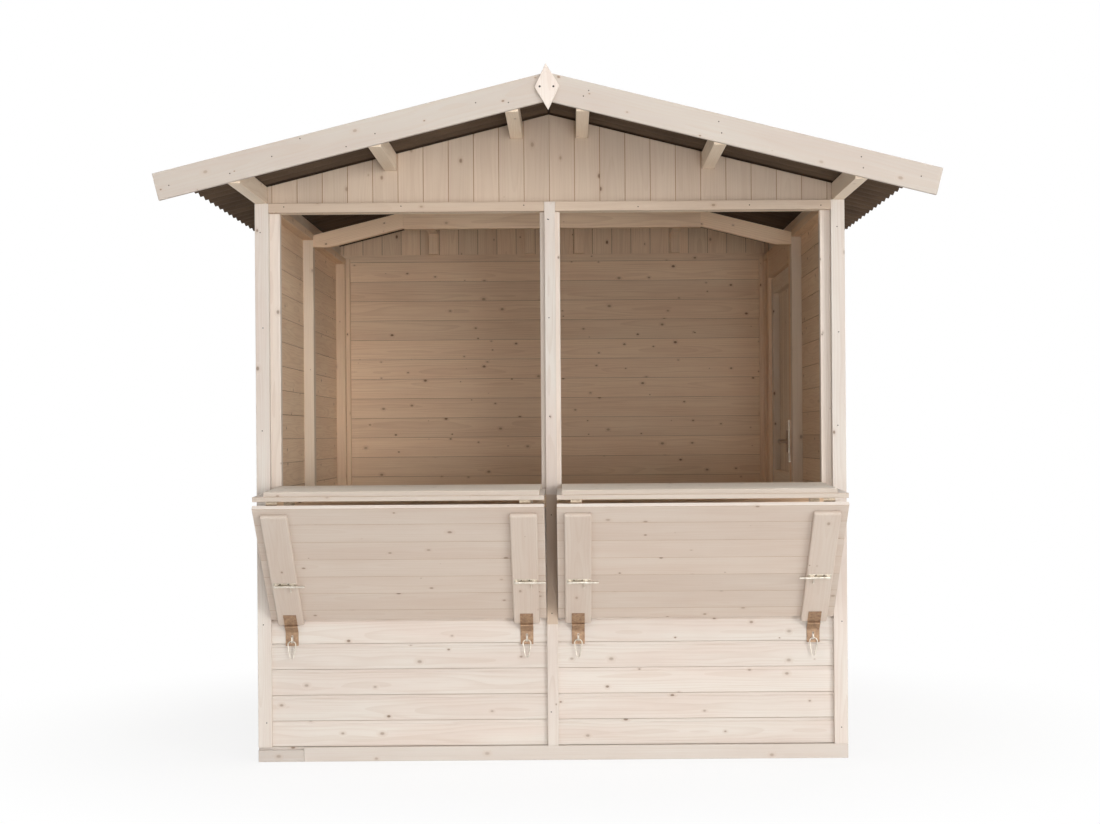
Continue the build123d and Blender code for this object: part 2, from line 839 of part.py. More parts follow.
def door_latch():
    """Latch case inside the leaf with a lever on each face."""
    near = door_edges()[0]
    inner = frame_side - door_frame_thickness
    case = block((inner - 18, inner), (near + 2, near + 62), (latch_level - 45, latch_level + 45))
    spindle_y = near + 40
    outside = clad_side
    rose = block((outside, outside + 3), (spindle_y - 18, spindle_y + 18),
                 (latch_level - 60, latch_level + 60))
    levers = []
    for face, turn in ((inner - 18, -1), (outside + 3, 1)):
        neck = block((face, face + turn * 28), (spindle_y - 7, spindle_y + 7),
                     (latch_level - 7, latch_level + 7))
        grip = block((face + turn * 18, face + turn * 28), (spindle_y - 7, spindle_y + 100),
                     (latch_level - 8, latch_level + 8))
        levers.append(neck + grip)
    return [case + levers[0], rose + levers[1]]


def build():
    """Make every node and write it."""
    nodes = {
        "base_rails": base_rails_across() + base_rails_along(),
        "front_wall": [front_wall(-1), front_wall(1)],
        "front_sills": front_sills(),
        "front_packers": front_packers(),
        "front_posts": front_posts(),
        "wall_headers": front_header(),
        "header_strip": header_strip(),
        "centre_strip": centre_strip(),
        "ledge_strips": ledge_strips(),
        "corner_trims": corner_trims_face() + corner_trims_side(),
        "front_gable": gable((clad_front, frame_front), opening_top),
        "rear_gable": gable((frame_rear, clad_rear), rear_gable_foot),
        "gable_studs": gable_studs(),
        "left_wall": left_wall(),
        "right_wall_front": right_wall_front(),
        "right_wall_rear": right_wall_rear(),
        "right_wall_over_door": right_wall_over_door(),
        "door_frame": door_posts() + [door_head()],
        "side_top_rails": side_top_rails(),
        "rear_wall": rear_wall(),
        "rear_posts": rear_posts() + rear_side_posts(),
        "middle_posts": middle_posts(),
        "roof_truss": truss_chords() + [truss_tie()],
        "eaves_purlins": purlin_pair(eaves_purlin_x),
        "inner_purlins": purlin_pair(middle_purlin_x) + purlin_pair(ridge_purlin_x),
        "roof_sheets": [roof_sheet(-1), roof_sheet(1)],
        "ridge_cap": ridge_cap(),
        "barge_boards": [barge_board(side, at_rear) for side in (-1, 1)
                         for at_rear in (False, True)],
        "finials": [finial(False), finial(True)],
        "counter_shelves": counter_shelves(),
        "counter_tops": counter_tops(),
        "counter_struts": counter_struts(),
        "strut_battens": strut_battens(),
        "counter_hinges": counter_hinges(),
        "strut_hasps": strut_hasps(),
        "wall_staples": wall_staples(),
        "snap_hooks": snap_hooks(),
        "slide_bolts": slide_bolts(),
        "door_leaf": door_leaf(),
        "door_stiles": door_stiles(),
        "door_ledges": door_ledges(),
        "door_straps": door_straps(),
        "door_hinge_plates": door_hinge_plates(),
        "door_latch": door_latch(),
        "door_keeper": door_keeper(),
    }
    os.makedirs("parts", exist_ok=True)
    for name, solids in nodes.items():
        save(name, solids)
    print(len(nodes), "nodes")


build()
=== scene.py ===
# Wooden market hut with two folding counters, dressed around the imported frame.
import math
import random
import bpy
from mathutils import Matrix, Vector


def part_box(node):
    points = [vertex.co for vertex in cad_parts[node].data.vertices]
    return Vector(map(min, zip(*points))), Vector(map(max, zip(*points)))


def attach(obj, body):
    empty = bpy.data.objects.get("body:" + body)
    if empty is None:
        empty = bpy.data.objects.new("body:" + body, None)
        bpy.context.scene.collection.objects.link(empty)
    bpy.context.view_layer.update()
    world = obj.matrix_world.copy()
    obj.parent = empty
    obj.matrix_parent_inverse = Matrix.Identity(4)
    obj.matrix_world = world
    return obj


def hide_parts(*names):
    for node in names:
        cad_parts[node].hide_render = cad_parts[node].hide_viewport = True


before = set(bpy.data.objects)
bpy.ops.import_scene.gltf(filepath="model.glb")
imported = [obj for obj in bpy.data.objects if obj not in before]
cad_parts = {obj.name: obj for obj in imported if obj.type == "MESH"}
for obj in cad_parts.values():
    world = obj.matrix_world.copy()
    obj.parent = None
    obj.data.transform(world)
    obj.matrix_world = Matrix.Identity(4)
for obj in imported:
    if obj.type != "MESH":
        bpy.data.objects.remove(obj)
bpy.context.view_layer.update()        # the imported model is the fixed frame

import bmesh
import bpy
from mathutils import Matrix, Vector

draw = random.Random(14)     # one seeded source for every random draw


# Colours are written as sRGB hex codes, and the shaders take them linear
def toLinear(code):
    channels = [int(code[i:i + 2], 16) / 255 for i in (0, 2, 4)]
    return [c / 12.92 if c <= 0.04045 else ((c + 0.055) / 1.055) ** 2.4 for c in channels] + [1.0]


def addNode(tree, kind, settings=None, links=None):
    node = tree.nodes.new(kind)
    for key, value in (settings or {}).items():
        if isinstance(key, str) and hasattr(node, key):
            setattr(node, key, value)
        else:
            node.inputs[key].default_value = value
    for key, source in (links or {}).items():
        tree.links.new(source, node.inputs[key])
    return node


def setRamp(node, stops):
    ramp = node.color_ramp
    while len(ramp.elements) < len(stops):
        ramp.elements.new(0.5)
    for element, (position, colour) in zip(ramp.elements, stops):
        element.position = position
        element.color = toLinear(colour) if isinstance(colour, str) else [colour] * 3 + [1]
    return node


def newMaterial(name):
    material = bpy.data.materials.new(name)
    material.use_nodes = True
    material.node_tree.nodes.clear()
    return material, material.node_tree


# Planed spruce: pale sapwood with faint cathedral rings, small brown knots and a
# different tone on each board. It reads the grain and tone that each board carries.
def makeSpruce(name, wood):
    material, tree = newMaterial(name)
    grain = addNode(tree, "ShaderNodeAttribute", {"attribute_name": "grain"})
    tone = addNode(tree, "ShaderNodeAttribute", {"attribute_name": "tone"})
    where = grain.outputs["Vector"]

    # knots: cells 125 mm along and 85 mm across, more than half of them left empty; the pattern
    # is turned half a right angle about the grain, so that all four long faces cut it
    knotPlace = addNode(tree, "ShaderNodeMapping",
                        {"Scale": (1 / 0.125, 1.41 / 0.085, 1.41 / 0.085),
                         "Rotation": (math.pi / 4, 0, 0)}, {"Vector": where})
    knots = addNode(tree, "ShaderNodeTexVoronoi",
                    {"voronoi_dimensions": "2D", "feature": "F1", "Scale": 1.0, "Randomness": 1.0},
                    {"Vector": knotPlace.outputs[0]})
    cellPick = addNode(tree, "ShaderNodeSeparateColor", {}, {"Color": knots.outputs["Color"]})
    knotSize = addNode(tree, "ShaderNodeMapRange",
                       {"From Min": wood["knotShare"], "From Max": 1.0, "To Min": 0.012,
                        "To Max": 0.065, "clamp": True}, {"Value": cellPick.outputs["Red"]})
    knotDepth = addNode(tree, "ShaderNodeMapRange", {"To Min": 0.35, "To Max": 1.0},
                        {"Value": cellPick.outputs["Green"]})
    hasKnot = addNode(tree, "ShaderNodeMath", {"operation": "GREATER_THAN", 1: wood["knotShare"]},
                      {0: cellPick.outputs["Red"]})
    reach = addNode(tree, "ShaderNodeMath", {"operation": "DIVIDE"},
                    {0: knots.outputs["Distance"], 1: knotSize.outputs["Result"]})
    knotCore = addNode(tree, "ShaderNodeMapRange",
                       {"From Min": 0.5, "From Max": 1.4, "To Min": 1.0, "To Max": 0.0,
                        "interpolation_type": "SMOOTHSTEP"}, {"Value": reach.outputs[0]})
    knotHalo = addNode(tree, "ShaderNodeMapRange",
                       {"From Min": 0.6, "From Max": 3.2, "To Min": 1.0, "To Max": 0.0,
                        "interpolation_type": "SMOOTHSTEP"}, {"Value": reach.outputs[0]})
    coreShare = addNode(tree, "ShaderNodeMath", {"operation": "MULTIPLY"},
                        {0: knotCore.outputs["Result"], 1: knotDepth.outputs["Result"]})
    core = addNode(tree, "ShaderNodeMath", {"operation": "MULTIPLY"},
                   {0: coreShare.outputs[0], 1: hasKnot.outputs[0]})
    halo = addNode(tree, "ShaderNodeMath", {"operation": "MULTIPLY"},
                   {0: knotHalo.outputs["Result"], 1: hasKnot.outputs[0]})

    # rings: the growth axis wanders by some millimetres and bulges round a knot
    wander = addNode(tree, "ShaderNodeTexNoise",
                     {"Scale": 1.0, "Detail": 2.0, "Roughness": 0.5},
                     {"Vector": addNode(tree, "ShaderNodeMapping", {"Scale": (1.6, 7.0, 7.0)},
                                        {"Vector": where}).outputs[0]})
    shift = addNode(tree, "ShaderNodeVectorMath",
                    {"operation": "MULTIPLY_ADD", 1: (0, 0.030, 0.030), 2: (0, -0.015, -0.015)},
                    {0: wander.outputs["Color"]})
    bulge = addNode(tree, "ShaderNodeVectorMath", {"operation": "SCALE", 0: (0, 0, 0.012)},
                    {"Scale": halo.outputs[0]})
    bent = addNode(tree, "ShaderNodeVectorMath", {"operation": "ADD"},
                   {0: where, 1: shift.outputs[0]})
    bentAgain = addNode(tree, "ShaderNodeVectorMath", {"operation": "ADD"},
                        {0: bent.outputs[0], 1: bulge.outputs[0]})
    rings = addNode(tree, "ShaderNodeTexWave",
                    {"wave_type": "RINGS", "rings_direction": "X", "wave_profile": "SAW",
                     "Scale": 0.314 / wood["ringWidth"], "Distortion": 0.0},
                    {"Vector": bentAgain.outputs[0]})
    lateWood = addNode(tree, "ShaderNodeMapRange",
                       {"From Min": 0.35, "From Max": 1.0, "To Min": 0.0, "To Max": 1.0,
                        "interpolation_type": "SMOOTHSTEP"}, {"Value": rings.outputs["Fac"]})

    # fibres, 4 mm across and some 200 mm long so that they show at this distance
    fibres = addNode(tree, "ShaderNodeTexNoise", {"Scale": 1.0, "Detail": 4.0, "Roughness": 0.65},
                     {"Vector": addNode(tree, "ShaderNodeMapping", {"Scale": (5, 240, 240)},
                                        {"Vector": where}).outputs[0]})
    blush = addNode(tree, "ShaderNodeTexNoise", {"Scale": 1.0, "Detail": 2.0},
                    {"Vector": addNode(tree, "ShaderNodeMapping", {"Scale": (2.2, 14, 14)},
                                       {"Vector": where}).outputs[0]})
    base = addNode(tree, "ShaderNodeMix", {"data_type": "RGBA", 6: toLinear(wood["pale"]),
                                           7: toLinear(wood["rosy"])},
                   {0: addNode(tree, "ShaderNodeMapRange", {"From Min": 0.35, "From Max": 0.65},
                               {"Value": blush.outputs["Fac"]}).outputs["Result"]})
    ringShare = addNode(tree, "ShaderNodeMath", {"operation": "MULTIPLY", 1: wood["ringShow"]},
                        {0: lateWood.outputs["Result"]})
    ringed = addNode(tree, "ShaderNodeMix", {"data_type": "RGBA", 7: toLinear(wood["late"])},
                     {0: ringShare.outputs[0], 6: base.outputs[2]})
    fibreShare = addNode(tree, "ShaderNodeMapRange",
                         {"From Min": 0.5, "From Max": 0.78, "To Min": 0.0,
                          "To Max": wood["fibreShow"]}, {"Value": fibres.outputs["Fac"]})
    streaked = addNode(tree, "ShaderNodeMix", {"data_type": "RGBA", 7: toLinear(wood["late"])},
                       {0: fibreShare.outputs["Result"], 6: ringed.outputs[2]})
    haloShare = addNode(tree, "ShaderNodeMath", {"operation": "MULTIPLY", 1: 0.28},
                        {0: halo.outputs[0]})
    haloed = addNode(tree, "ShaderNodeMix", {"data_type": "RGBA", 7: toLinear(wood["late"])},
                     {0: haloShare.outputs[0], 6: streaked.outputs[2]})
    knotted = addNode(tree, "ShaderNodeMix", {"data_type": "RGBA", 7: toLinear(wood["knot"])},
                      {0: core.outputs[0], 6: haloed.outputs[2]})
    level = addNode(tree, "ShaderNodeMapRange",
                    {"From Min": -1.0, "From Max": 1.0, "To Min": 1 - wood["toneSwing"],
                     "To Max": 1 + wood["toneSwing"], "clamp": False}, {"Value": tone.outputs["Fac"]})
    toned = addNode(tree, "ShaderNodeHueSaturation", {}, {"Value": level.outputs["Result"],
                                                          "Color": knotted.outputs[2]})
    relief = addNode(tree, "ShaderNodeMath", {"operation": "MULTIPLY_ADD", 1: 0.6},
                     {0: fibres.outputs["Fac"], 2: lateWood.outputs["Result"]})
    bump = addNode(tree, "ShaderNodeBump", {"Strength": 0.25, "Distance": 0.0004},
                   {"Height": relief.outputs[0]})
    rough = addNode(tree, "ShaderNodeMapRange",
                    {"From Min": 0.3, "From Max": 0.7, "To Min": wood["roughness"] - 0.06,
                     "To Max": wood["roughness"] + 0.06}, {"Value": fibres.outputs["Fac"]})
    shader = addNode(tree, "ShaderNodeBsdfPrincipled", {"IOR": 1.5, "Specular IOR Level": 0.35},
                     {"Base Color": toned.outputs[0], "Roughness": rough.outputs["Result"],
                      "Normal": bump.outputs[0]})
    addNode(tree, "ShaderNodeOutputMaterial", {}, {"Surface": shader.outputs[0]})
    return material


# Bitumen fibre sheet: matte brown with a felted, granular skin
def makeBitumen(name, sheet):
    material, tree = newMaterial(name)
    place = addNode(tree, "ShaderNodeTexCoord").outputs["Object"]
    felt = addNode(tree, "ShaderNodeTexNoise", {"Scale": 420.0, "Detail": 4.0, "Roughness": 0.7},
                   {"Vector": place})
    cloud = addNode(tree, "ShaderNodeTexNoise", {"Scale": 5.0, "Detail": 3.0}, {"Vector": place})
    mixed = addNode(tree, "ShaderNodeMath", {"operation": "MULTIPLY_ADD", 1: 0.45},
                    {0: cloud.outputs["Fac"], 2: addNode(tree, "ShaderNodeMath",
                     {"operation": "MULTIPLY", 1: 0.55}, {0: felt.outputs["Fac"]}).outputs[0]})
    colour = setRamp(addNode(tree, "ShaderNodeValToRGB", {}, {"Fac": mixed.outputs[0]}),
                     [(0.35, sheet["dark"]), (0.65, sheet["light"])])
    bump = addNode(tree, "ShaderNodeBump", {"Strength": 0.6, "Distance": 0.0006},
                   {"Height": felt.outputs["Fac"]})
    shader = addNode(tree, "ShaderNodeBsdfPrincipled",
                     {"Roughness": sheet["roughness"], "IOR": 1.5, "Specular IOR Level": 0.25},
                     {"Base Color": colour.outputs[0], "Normal": bump.outputs[0]})
    addNode(tree, "ShaderNodeOutputMaterial", {}, {"Surface": shader.outputs[0]})
    return material


# Plated or lacquered steel: a metal or dielectric skin with cloudy tarnish
def makeSteel(name, steel):
    material, tree = newMaterial(name)
    place = addNode(tree, "ShaderNodeTexCoord").outputs["Object"]
    cloud = addNode(tree, "ShaderNodeTexNoise", {"Scale": 90.0, "Detail": 5.0, "Roughness": 0.6},
                    {"Vector": place})
    colour = setRamp(addNode(tree, "ShaderNodeValToRGB", {}, {"Fac": cloud.outputs["Fac"]}),
                     [(0.3, steel["dark"]), (0.7, steel["light"])])
    rough = addNode(tree, "ShaderNodeMapRange",
                    {"From Min": 0.3, "From Max": 0.7, "To Min": steel["roughness"] + 0.08,
                     "To Max": steel["roughness"] - 0.08}, {"Value": cloud.outputs["Fac"]})
    bump = addNode(tree, "ShaderNodeBump", {"Strength": 0.15, "Distance": 0.0003},
                   {"Height": cloud.outputs["Fac"]})
    shader = addNode(tree, "ShaderNodeBsdfPrincipled", {"Metallic": steel["metallic"]},
                     {"Base Color": colour.outputs[0], "Roughness": rough.outputs["Result"],
                      "Normal": bump.outputs[0]})
    addNode(tree, "ShaderNodeOutputMaterial", {}, {"Surface": shader.outputs[0]})
    return material


# outer boards: planed and untreated, a pale wood that is nearly grey
boardWood = {"pale": "ddd5cc", "rosy": "dacdc3", "late": "bda592", "knot": "8a7563",
             "knotShare": 0.6, "ringWidth": 0.0048, "ringShow": 0.17, "fibreShow": 0.26,
             "toneSwing": 0.035, "roughness": 0.62}
spruceBoards = makeSpruce("spruceBoards", boardWood)
# counter tops: a paler copy of the board wood, painted light on their upward faces, and a duller copy
# on their sawn front edges, painted shade
spruceShelfLit = makeSpruce("spruceShelfLit", {**boardWood, "pale": "f5ebde", "rosy": "f0e3d3"})
spruceEdgeShade = makeSpruce("spruceEdgeShade", {**boardWood, "pale": "c6baae", "rosy": "c1b4a7"})
# posts and barge boards differ a little in tone, as bought timber does; ground rails and struts are
# darker copies, painted shade
sprucePost = makeSpruce("sprucePost", {**boardWood, "pale": "eaded3", "rosy": "e5d7ca"})
# ground rails: darker, painted shade that takes off the light they catch from the floor
spruceRailShade = makeSpruce("spruceRailShade", {**boardWood, "pale": "d1c9c1", "rosy": "cec4bb"})
spruceBarge = makeSpruce("spruceBarge", {**boardWood, "pale": "c2b9af", "rosy": "bfb3a9"})
# struts: darker, painted shade of boards that lean out and look down
spruceStrutShade = makeSpruce("spruceStrutShade", {**boardWood, "pale": "cfc2b6", "rosy": "cbbbae"})
# inner faces: rougher, and lighter and warmer than the outer boards; partly the colour of fresh spruce,
# partly painted light, the warm bounce of light inside the hut
spruceInner = makeSpruce("spruceInner", {
    "pale": "f0d5b6", "rosy": "ebcdae", "late": "b98f6c", "knot": "805f48", "knotShare": 0.58,
    "ringWidth": 0.0048, "ringShow": 0.18, "fibreShow": 0.3, "toneSwing": 0.06,
    "roughness": 0.68})
# faces inside a joint: brown, painted shade of the joint, so that the joint reads as a thin dark line
spruceJointShade = makeSpruce("spruceJointShade", {
    "pale": "a88869", "rosy": "a38165", "late": "7a5e48", "knot": "59432f", "knotShare": 0.7,
    "ringWidth": 0.0048, "ringShow": 0.1, "fibreShow": 0.2, "toneSwing": 0.05,
    "roughness": 0.75})
# boards under the roof edge and behind the counters: a darker, warmer copy of the board wood, painted
# shade of the overhang and the counters
spruceShadePainted = makeSpruce("spruceShadePainted", {
    "pale": "cfbba7", "rosy": "cab5a1", "late": "ac8d74", "knot": "8a705c", "knotShare": 0.64,
    "ringWidth": 0.0055, "ringShow": 0.12, "fibreShow": 0.25, "toneSwing": 0.06,
    "roughness": 0.65})
# squared frame timber: warm and even, with few knots
spruceFrame = makeSpruce("spruceFrame", {
    "pale": "ebdac5", "rosy": "e5d2bc", "late": "c3a487", "knot": "846a57", "knotShare": 0.72,
    "ringWidth": 0.005, "ringShow": 0.16, "fibreShow": 0.22, "toneSwing": 0.04,
    "roughness": 0.65})
# brown bitumen fibre, which takes the light with no shine
bitumenSheet = makeBitumen("bitumenSheet", {"dark": "45362a", "light": "62503f",
                                            "roughness": 0.85})
# galvanised steel, a pale blurred glint
zincSteel = makeSteel("zincSteel", {"dark": "cdc4b6", "light": "ece5da", "metallic": 1.0,
                                    "roughness": 0.42})
# browned steel of the hasps, half metal and half oxide skin
brownSteel = makeSteel("brownSteel", {"dark": "8e715c", "light": "b79879", "metallic": 0.6,
                                      "roughness": 0.5})
# lacquered latch, a soft brown with no metal in it
latchSteel = makeSteel("latchSteel", {"dark": "8c7159", "light": "a98b6f", "metallic": 0.0,
                                      "roughness": 0.4})
# passivated zinc of the counter hinges, warmer than the rest
yellowZinc = makeSteel("yellowZinc", {"dark": "ab9b87", "light": "cdbda8", "metallic": 1.0,
                                      "roughness": 0.45})
# dark nail heads and screw slots
blackSteel = makeSteel("blackSteel", {"dark": "2e2621", "light": "41362e", "metallic": 0.0,
                                      "roughness": 0.42})
print("materials made")


# ways of the hut: +X is to its right, and the counters look towards -Y
right = Vector((1, 0, 0))
up = Vector((0, 0, 1))
outFront = Vector((0, -1, 0))


# Timber carries its place in the tree and its tone on each corner
def newTimber():
    bm = bmesh.new()
    bm.verts.layers.float_vector.new("grain")
    bm.verts.layers.float.new("tone")
    return bm


# Each board takes its own place in the tree: far along it, and some way from the pith.
def markGrain(bm, verts, along, across, outward, centre):
    grain = bm.verts.layers.float_vector["grain"]
    tone = bm.verts.layers.float["tone"]
    start = Vector((draw.uniform(0, 30), draw.uniform(-0.025, 0.025), draw.uniform(0.03, 0.07)))
    shade = max(-1.6, min(1.6, draw.gauss(0, 0.7)))
    for vert in verts:
        way = vert.co - centre
        vert[grain] = start + Vector((way.dot(along), way.dot(across), way.dot(outward)))
        vert[tone] = shade


def append(target, source):
    mesh = bpy.data.meshes.new("passing")
    source.to_mesh(mesh)
    source.free()
    target.from_mesh(mesh)
    bpy.data.meshes.remove(mesh)


def cleanCopy(node):
    bm = newTimber()
    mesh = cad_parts[node].data.copy()
    for name in [a.name for a in mesh.attributes if a.name in ("custom_normal", "sharp_face")]:
        mesh.attributes.remove(mesh.attributes[name])
    bm.from_mesh(mesh)
    bpy.data.meshes.remove(mesh)
    bmesh.ops.remove_doubles(bm, verts=bm.verts, dist=1e-5)
    bmesh.ops.dissolve_limit(bm, angle_limit=0.01, verts=bm.verts, edges=bm.edges)
    return bm


# The faces of a node come solid by solid: a solid is complete once its faces close up
def solidsOf(node):
    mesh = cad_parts[node].data
    solids, faces, openEdges = [], [], set()
    for polygon in mesh.polygons:
        corners = [tuple(round(c, 5) for c in mesh.vertices[i].co) for i in polygon.vertices]
        faces.append(corners)
        for pair in zip(corners, corners[1:] + corners[:1]):
            openEdges ^= {frozenset(pair)}
        if openEdges:
            continue
        solid = newTimber()
        verts = {corner: solid.verts.new(corner)
                 for corner in dict.fromkeys(c for face in faces for c in face)}
        for face in faces:
            solid.faces.new([verts[corner] for corner in face])
        solid.normal_update()
        bmesh.ops.dissolve_limit(solid, angle_limit=0.01, verts=solid.verts, edges=solid.edges)
        solids.append(solid)
        faces = []
    return solids


def looseParts(bm):
    parts, seen = [], set()
    for first in bm.verts:
        if first in seen:
            continue
        part, waiting = [], [first]
        seen.add(first)
        while waiting:
            vert = waiting.pop()
            part.append(vert)
            for edge in vert.link_edges:
                other = edge.other_vert(vert)
                if other not in seen:
                    seen.add(other)
                    waiting.append(other)
        parts.append(part)
    return parts


# Way of an edge, turned so that its longest share is positive whichever end comes first
def wayOf(edge):
    way = edge.verts[1].co - edge.verts[0].co
    return way if max(way, key=lambda share: round(abs(share), 5)) > 0 else -way


# Along is the longest edge of a timber, across the longest one square to it
def timberAxes(part):
    edges = dict.fromkeys(edge for vert in part for edge in vert.link_edges)
    ways = sorted((wayOf(edge) for edge in edges), reverse=True,
                  key=lambda way: (round(way.length, 5), round(abs(way.x), 5),
                                   round(abs(way.z), 5), *(round(share, 5) for share in way)))
    along = ways[0].normalized()
    across = next((w.normalized() for w in ways if abs(w.normalized().dot(along)) < 0.2),
                  along.orthogonal().normalized())
    outward = along.cross(across).normalized()
    across = outward.cross(along).normalized()
    return along, across, outward


def middleOf(verts):
    total = Vector((0, 0, 0))
    for vert in verts:
        total += vert.co
    return total / len(verts)


# Lowest and highest reach of each loose part of a node along three ways, by place in X
def partReaches(node, ways=((1, 0, 0), (0, 1, 0), (0, 0, 1))):
    bm = cleanCopy(node)
    reaches = []
    for part in looseParts(bm):
        spans = [[vert.co.dot(Vector(way)) for vert in part] for way in ways]
        reaches.append((Vector([min(span) for span in spans]),
                        Vector([max(span) for span in spans])))
    bm.free()
    return sorted(reaches, key=lambda reach: (round(reach[0].x, 4), reach[0].y))


def softenEdges(bm, width, segments=2, least=0.5):
    sharp = [edge for edge in bm.edges
             if len(edge.link_faces) == 2 and edge.calc_face_angle() > least]
    bmesh.ops.bevel(bm, geom=sharp, offset=width, offset_type="OFFSET", segments=segments,
                    profile=0.5, affect="EDGES", clamp_overlap=True, material=-1)


# Copy of a node with its sharp edges softened
def softCopy(node, width, segments=1, least=0.8):
    bm = cleanCopy(node)
    softenEdges(bm, width, segments, least)
    return bm


def finishPiece(bm, name, body, nodes, materials, smooth=None):
    bmesh.ops.recalc_face_normals(bm, faces=bm.faces)
    mesh = bpy.data.meshes.new(name)
    bm.to_mesh(mesh)
    bm.free()
    for material in materials:
        mesh.materials.append(material)
    mesh.shade_flat()
    if smooth:
        mesh.shade_smooth()
        mesh.set_sharp_from_angle(angle=math.radians(smooth))
    piece = bpy.data.objects.new(name, mesh)
    bpy.context.scene.collection.objects.link(piece)
    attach(piece, body)
    if nodes:
        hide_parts(*nodes)
    return piece


# Posts, rails, purlins and strips keep the shape of the frame, with planed edges
def dressTimbers(name, nodes, timber):
    bm = newTimber()
    for node in nodes:
        for solid in solidsOf(node):
            softenEdges(solid, timber["edge"])
            # faces that look the given way take the second material, a shaded copy of the wood, painted
            # shade
            for face in solid.faces:
                if face.normal.dot(Vector(timber.get("paintedLightWay", (0, 0, 0)))) > 0.5:
                    face.material_index = 1
            markGrain(solid, solid.verts, *timberAxes(solid.verts), middleOf(solid.verts))
            append(bm, solid)
    return finishPiece(bm, name, timber.get("body", "hut"), nodes, timber["materials"])


def addTimber(bm, low, high, edge):
    timber = newTimber()
    size = Vector(high) - Vector(low)
    bmesh.ops.create_cube(timber, size=1.0, matrix=Matrix.Translation(
        (Vector(low) + Vector(high)) / 2) @ Matrix.Diagonal((*size, 1)))
    softenEdges(timber, edge)
    markGrain(timber, timber.verts, *timberAxes(timber.verts[:]), middleOf(timber.verts))
    append(bm, timber)


def trim(bm, point, normal):
    cut = bmesh.ops.bisect_plane(bm, geom=bm.verts[:] + bm.edges[:] + bm.faces[:],
                                 plane_co=point, plane_no=normal, clear_outer=True)
    rim = [item for item in cut["geom_cut"] if isinstance(item, bmesh.types.BMEdge)]
    if rim:
        bmesh.ops.edgeloop_fill(bm, edges=rim)


# A solid of the frame is sawn into boards; `across` is the way from board to board
def sawBoards(name, nodes, boards):
    bm = newTimber()
    for node in nodes:
        for whole in solidsOf(node):
            along, across, outward = timberAxes(whole.verts)
            if "across" in boards:
                across = Vector(boards["across"])
                along = across.cross(outward).normalized()
            middle = middleOf(whole.verts)
            spread = [vert.co.dot(across) for vert in whole.verts]
            low, high = min(spread), max(spread)
            first = boards.get("first", boards["cover"])
            if "jointAt" in boards:
                first = (boards["jointAt"] - low) % boards["cover"] or boards["cover"]
            joints = [low]
            level = low + first
            while level < high - 0.004:
                joints.append(level)
                level += boards["cover"]
            joints.append(high)
            for lower, upper in zip(joints, joints[1:]):
                board = whole.copy()
                if lower > low:
                    trim(board, across * lower, -across)
                if upper < high:
                    trim(board, across * upper, across)
                softenEdges(board, boards["edge"], 1)
                # bevels at a joint take the joint material, painted shade; faces that look the given
                # way take the last material, painted light and shade on the counters
                for face in board.faces:
                    if 0.3 < abs(face.normal.dot(across)) < 0.95:
                        face.material_index = 2      # the bevels of a joint are shaded
                    elif face.normal.dot(Vector(boards["inward"])) > 0.3:
                        face.material_index = 1
                    elif face.normal.dot(Vector(boards.get("paintedLightWay", (0, 0, 0)))) > 0.9:
                        face.material_index = 3
                markGrain(board, board.verts, along, across, outward,
                          middle + across * ((lower + upper) / 2 - middle.dot(across)))
                append(bm, board)
            whole.free()
    return finishPiece(bm, name, boards.get("body", "hut"), nodes, boards["materials"])


print("timber tools ready")

# walls of shiplap boards
shiplap = {"cover": 0.090, "coveHeight": 0.012, "coveDepth": 0.0035, "joint": 0.0016,
           "edge": 0.0008, "innerEdge": 0.0006, "innerGap": 0.0014, "innerDepth": 0.006}


# Depth and height of one board, back bottom corner first; the top has a shallow cove
def shiplapOutline(thickness):
    s = shiplap
    outline = [(0, s["innerGap"] + s["innerEdge"]), (s["innerEdge"], s["innerGap"]),
               (s["innerDepth"], s["innerGap"]), (s["innerDepth"], 0), (thickness * 0.5, 0),
               (thickness - s["edge"], s["joint"]), (thickness, s["joint"] + s["edge"]),
               (thickness, s["cover"] - s["coveHeight"])]
    for step in (0.35, 0.7, 1.0):
        turn = step * math.pi / 2
        outline.append((thickness - s["coveDepth"] * math.sin(turn),
                        s["cover"] - s["coveHeight"] * math.cos(turn)))
    outline += [(s["innerEdge"], s["cover"]), (0, s["cover"] - s["innerEdge"])]
    return outline


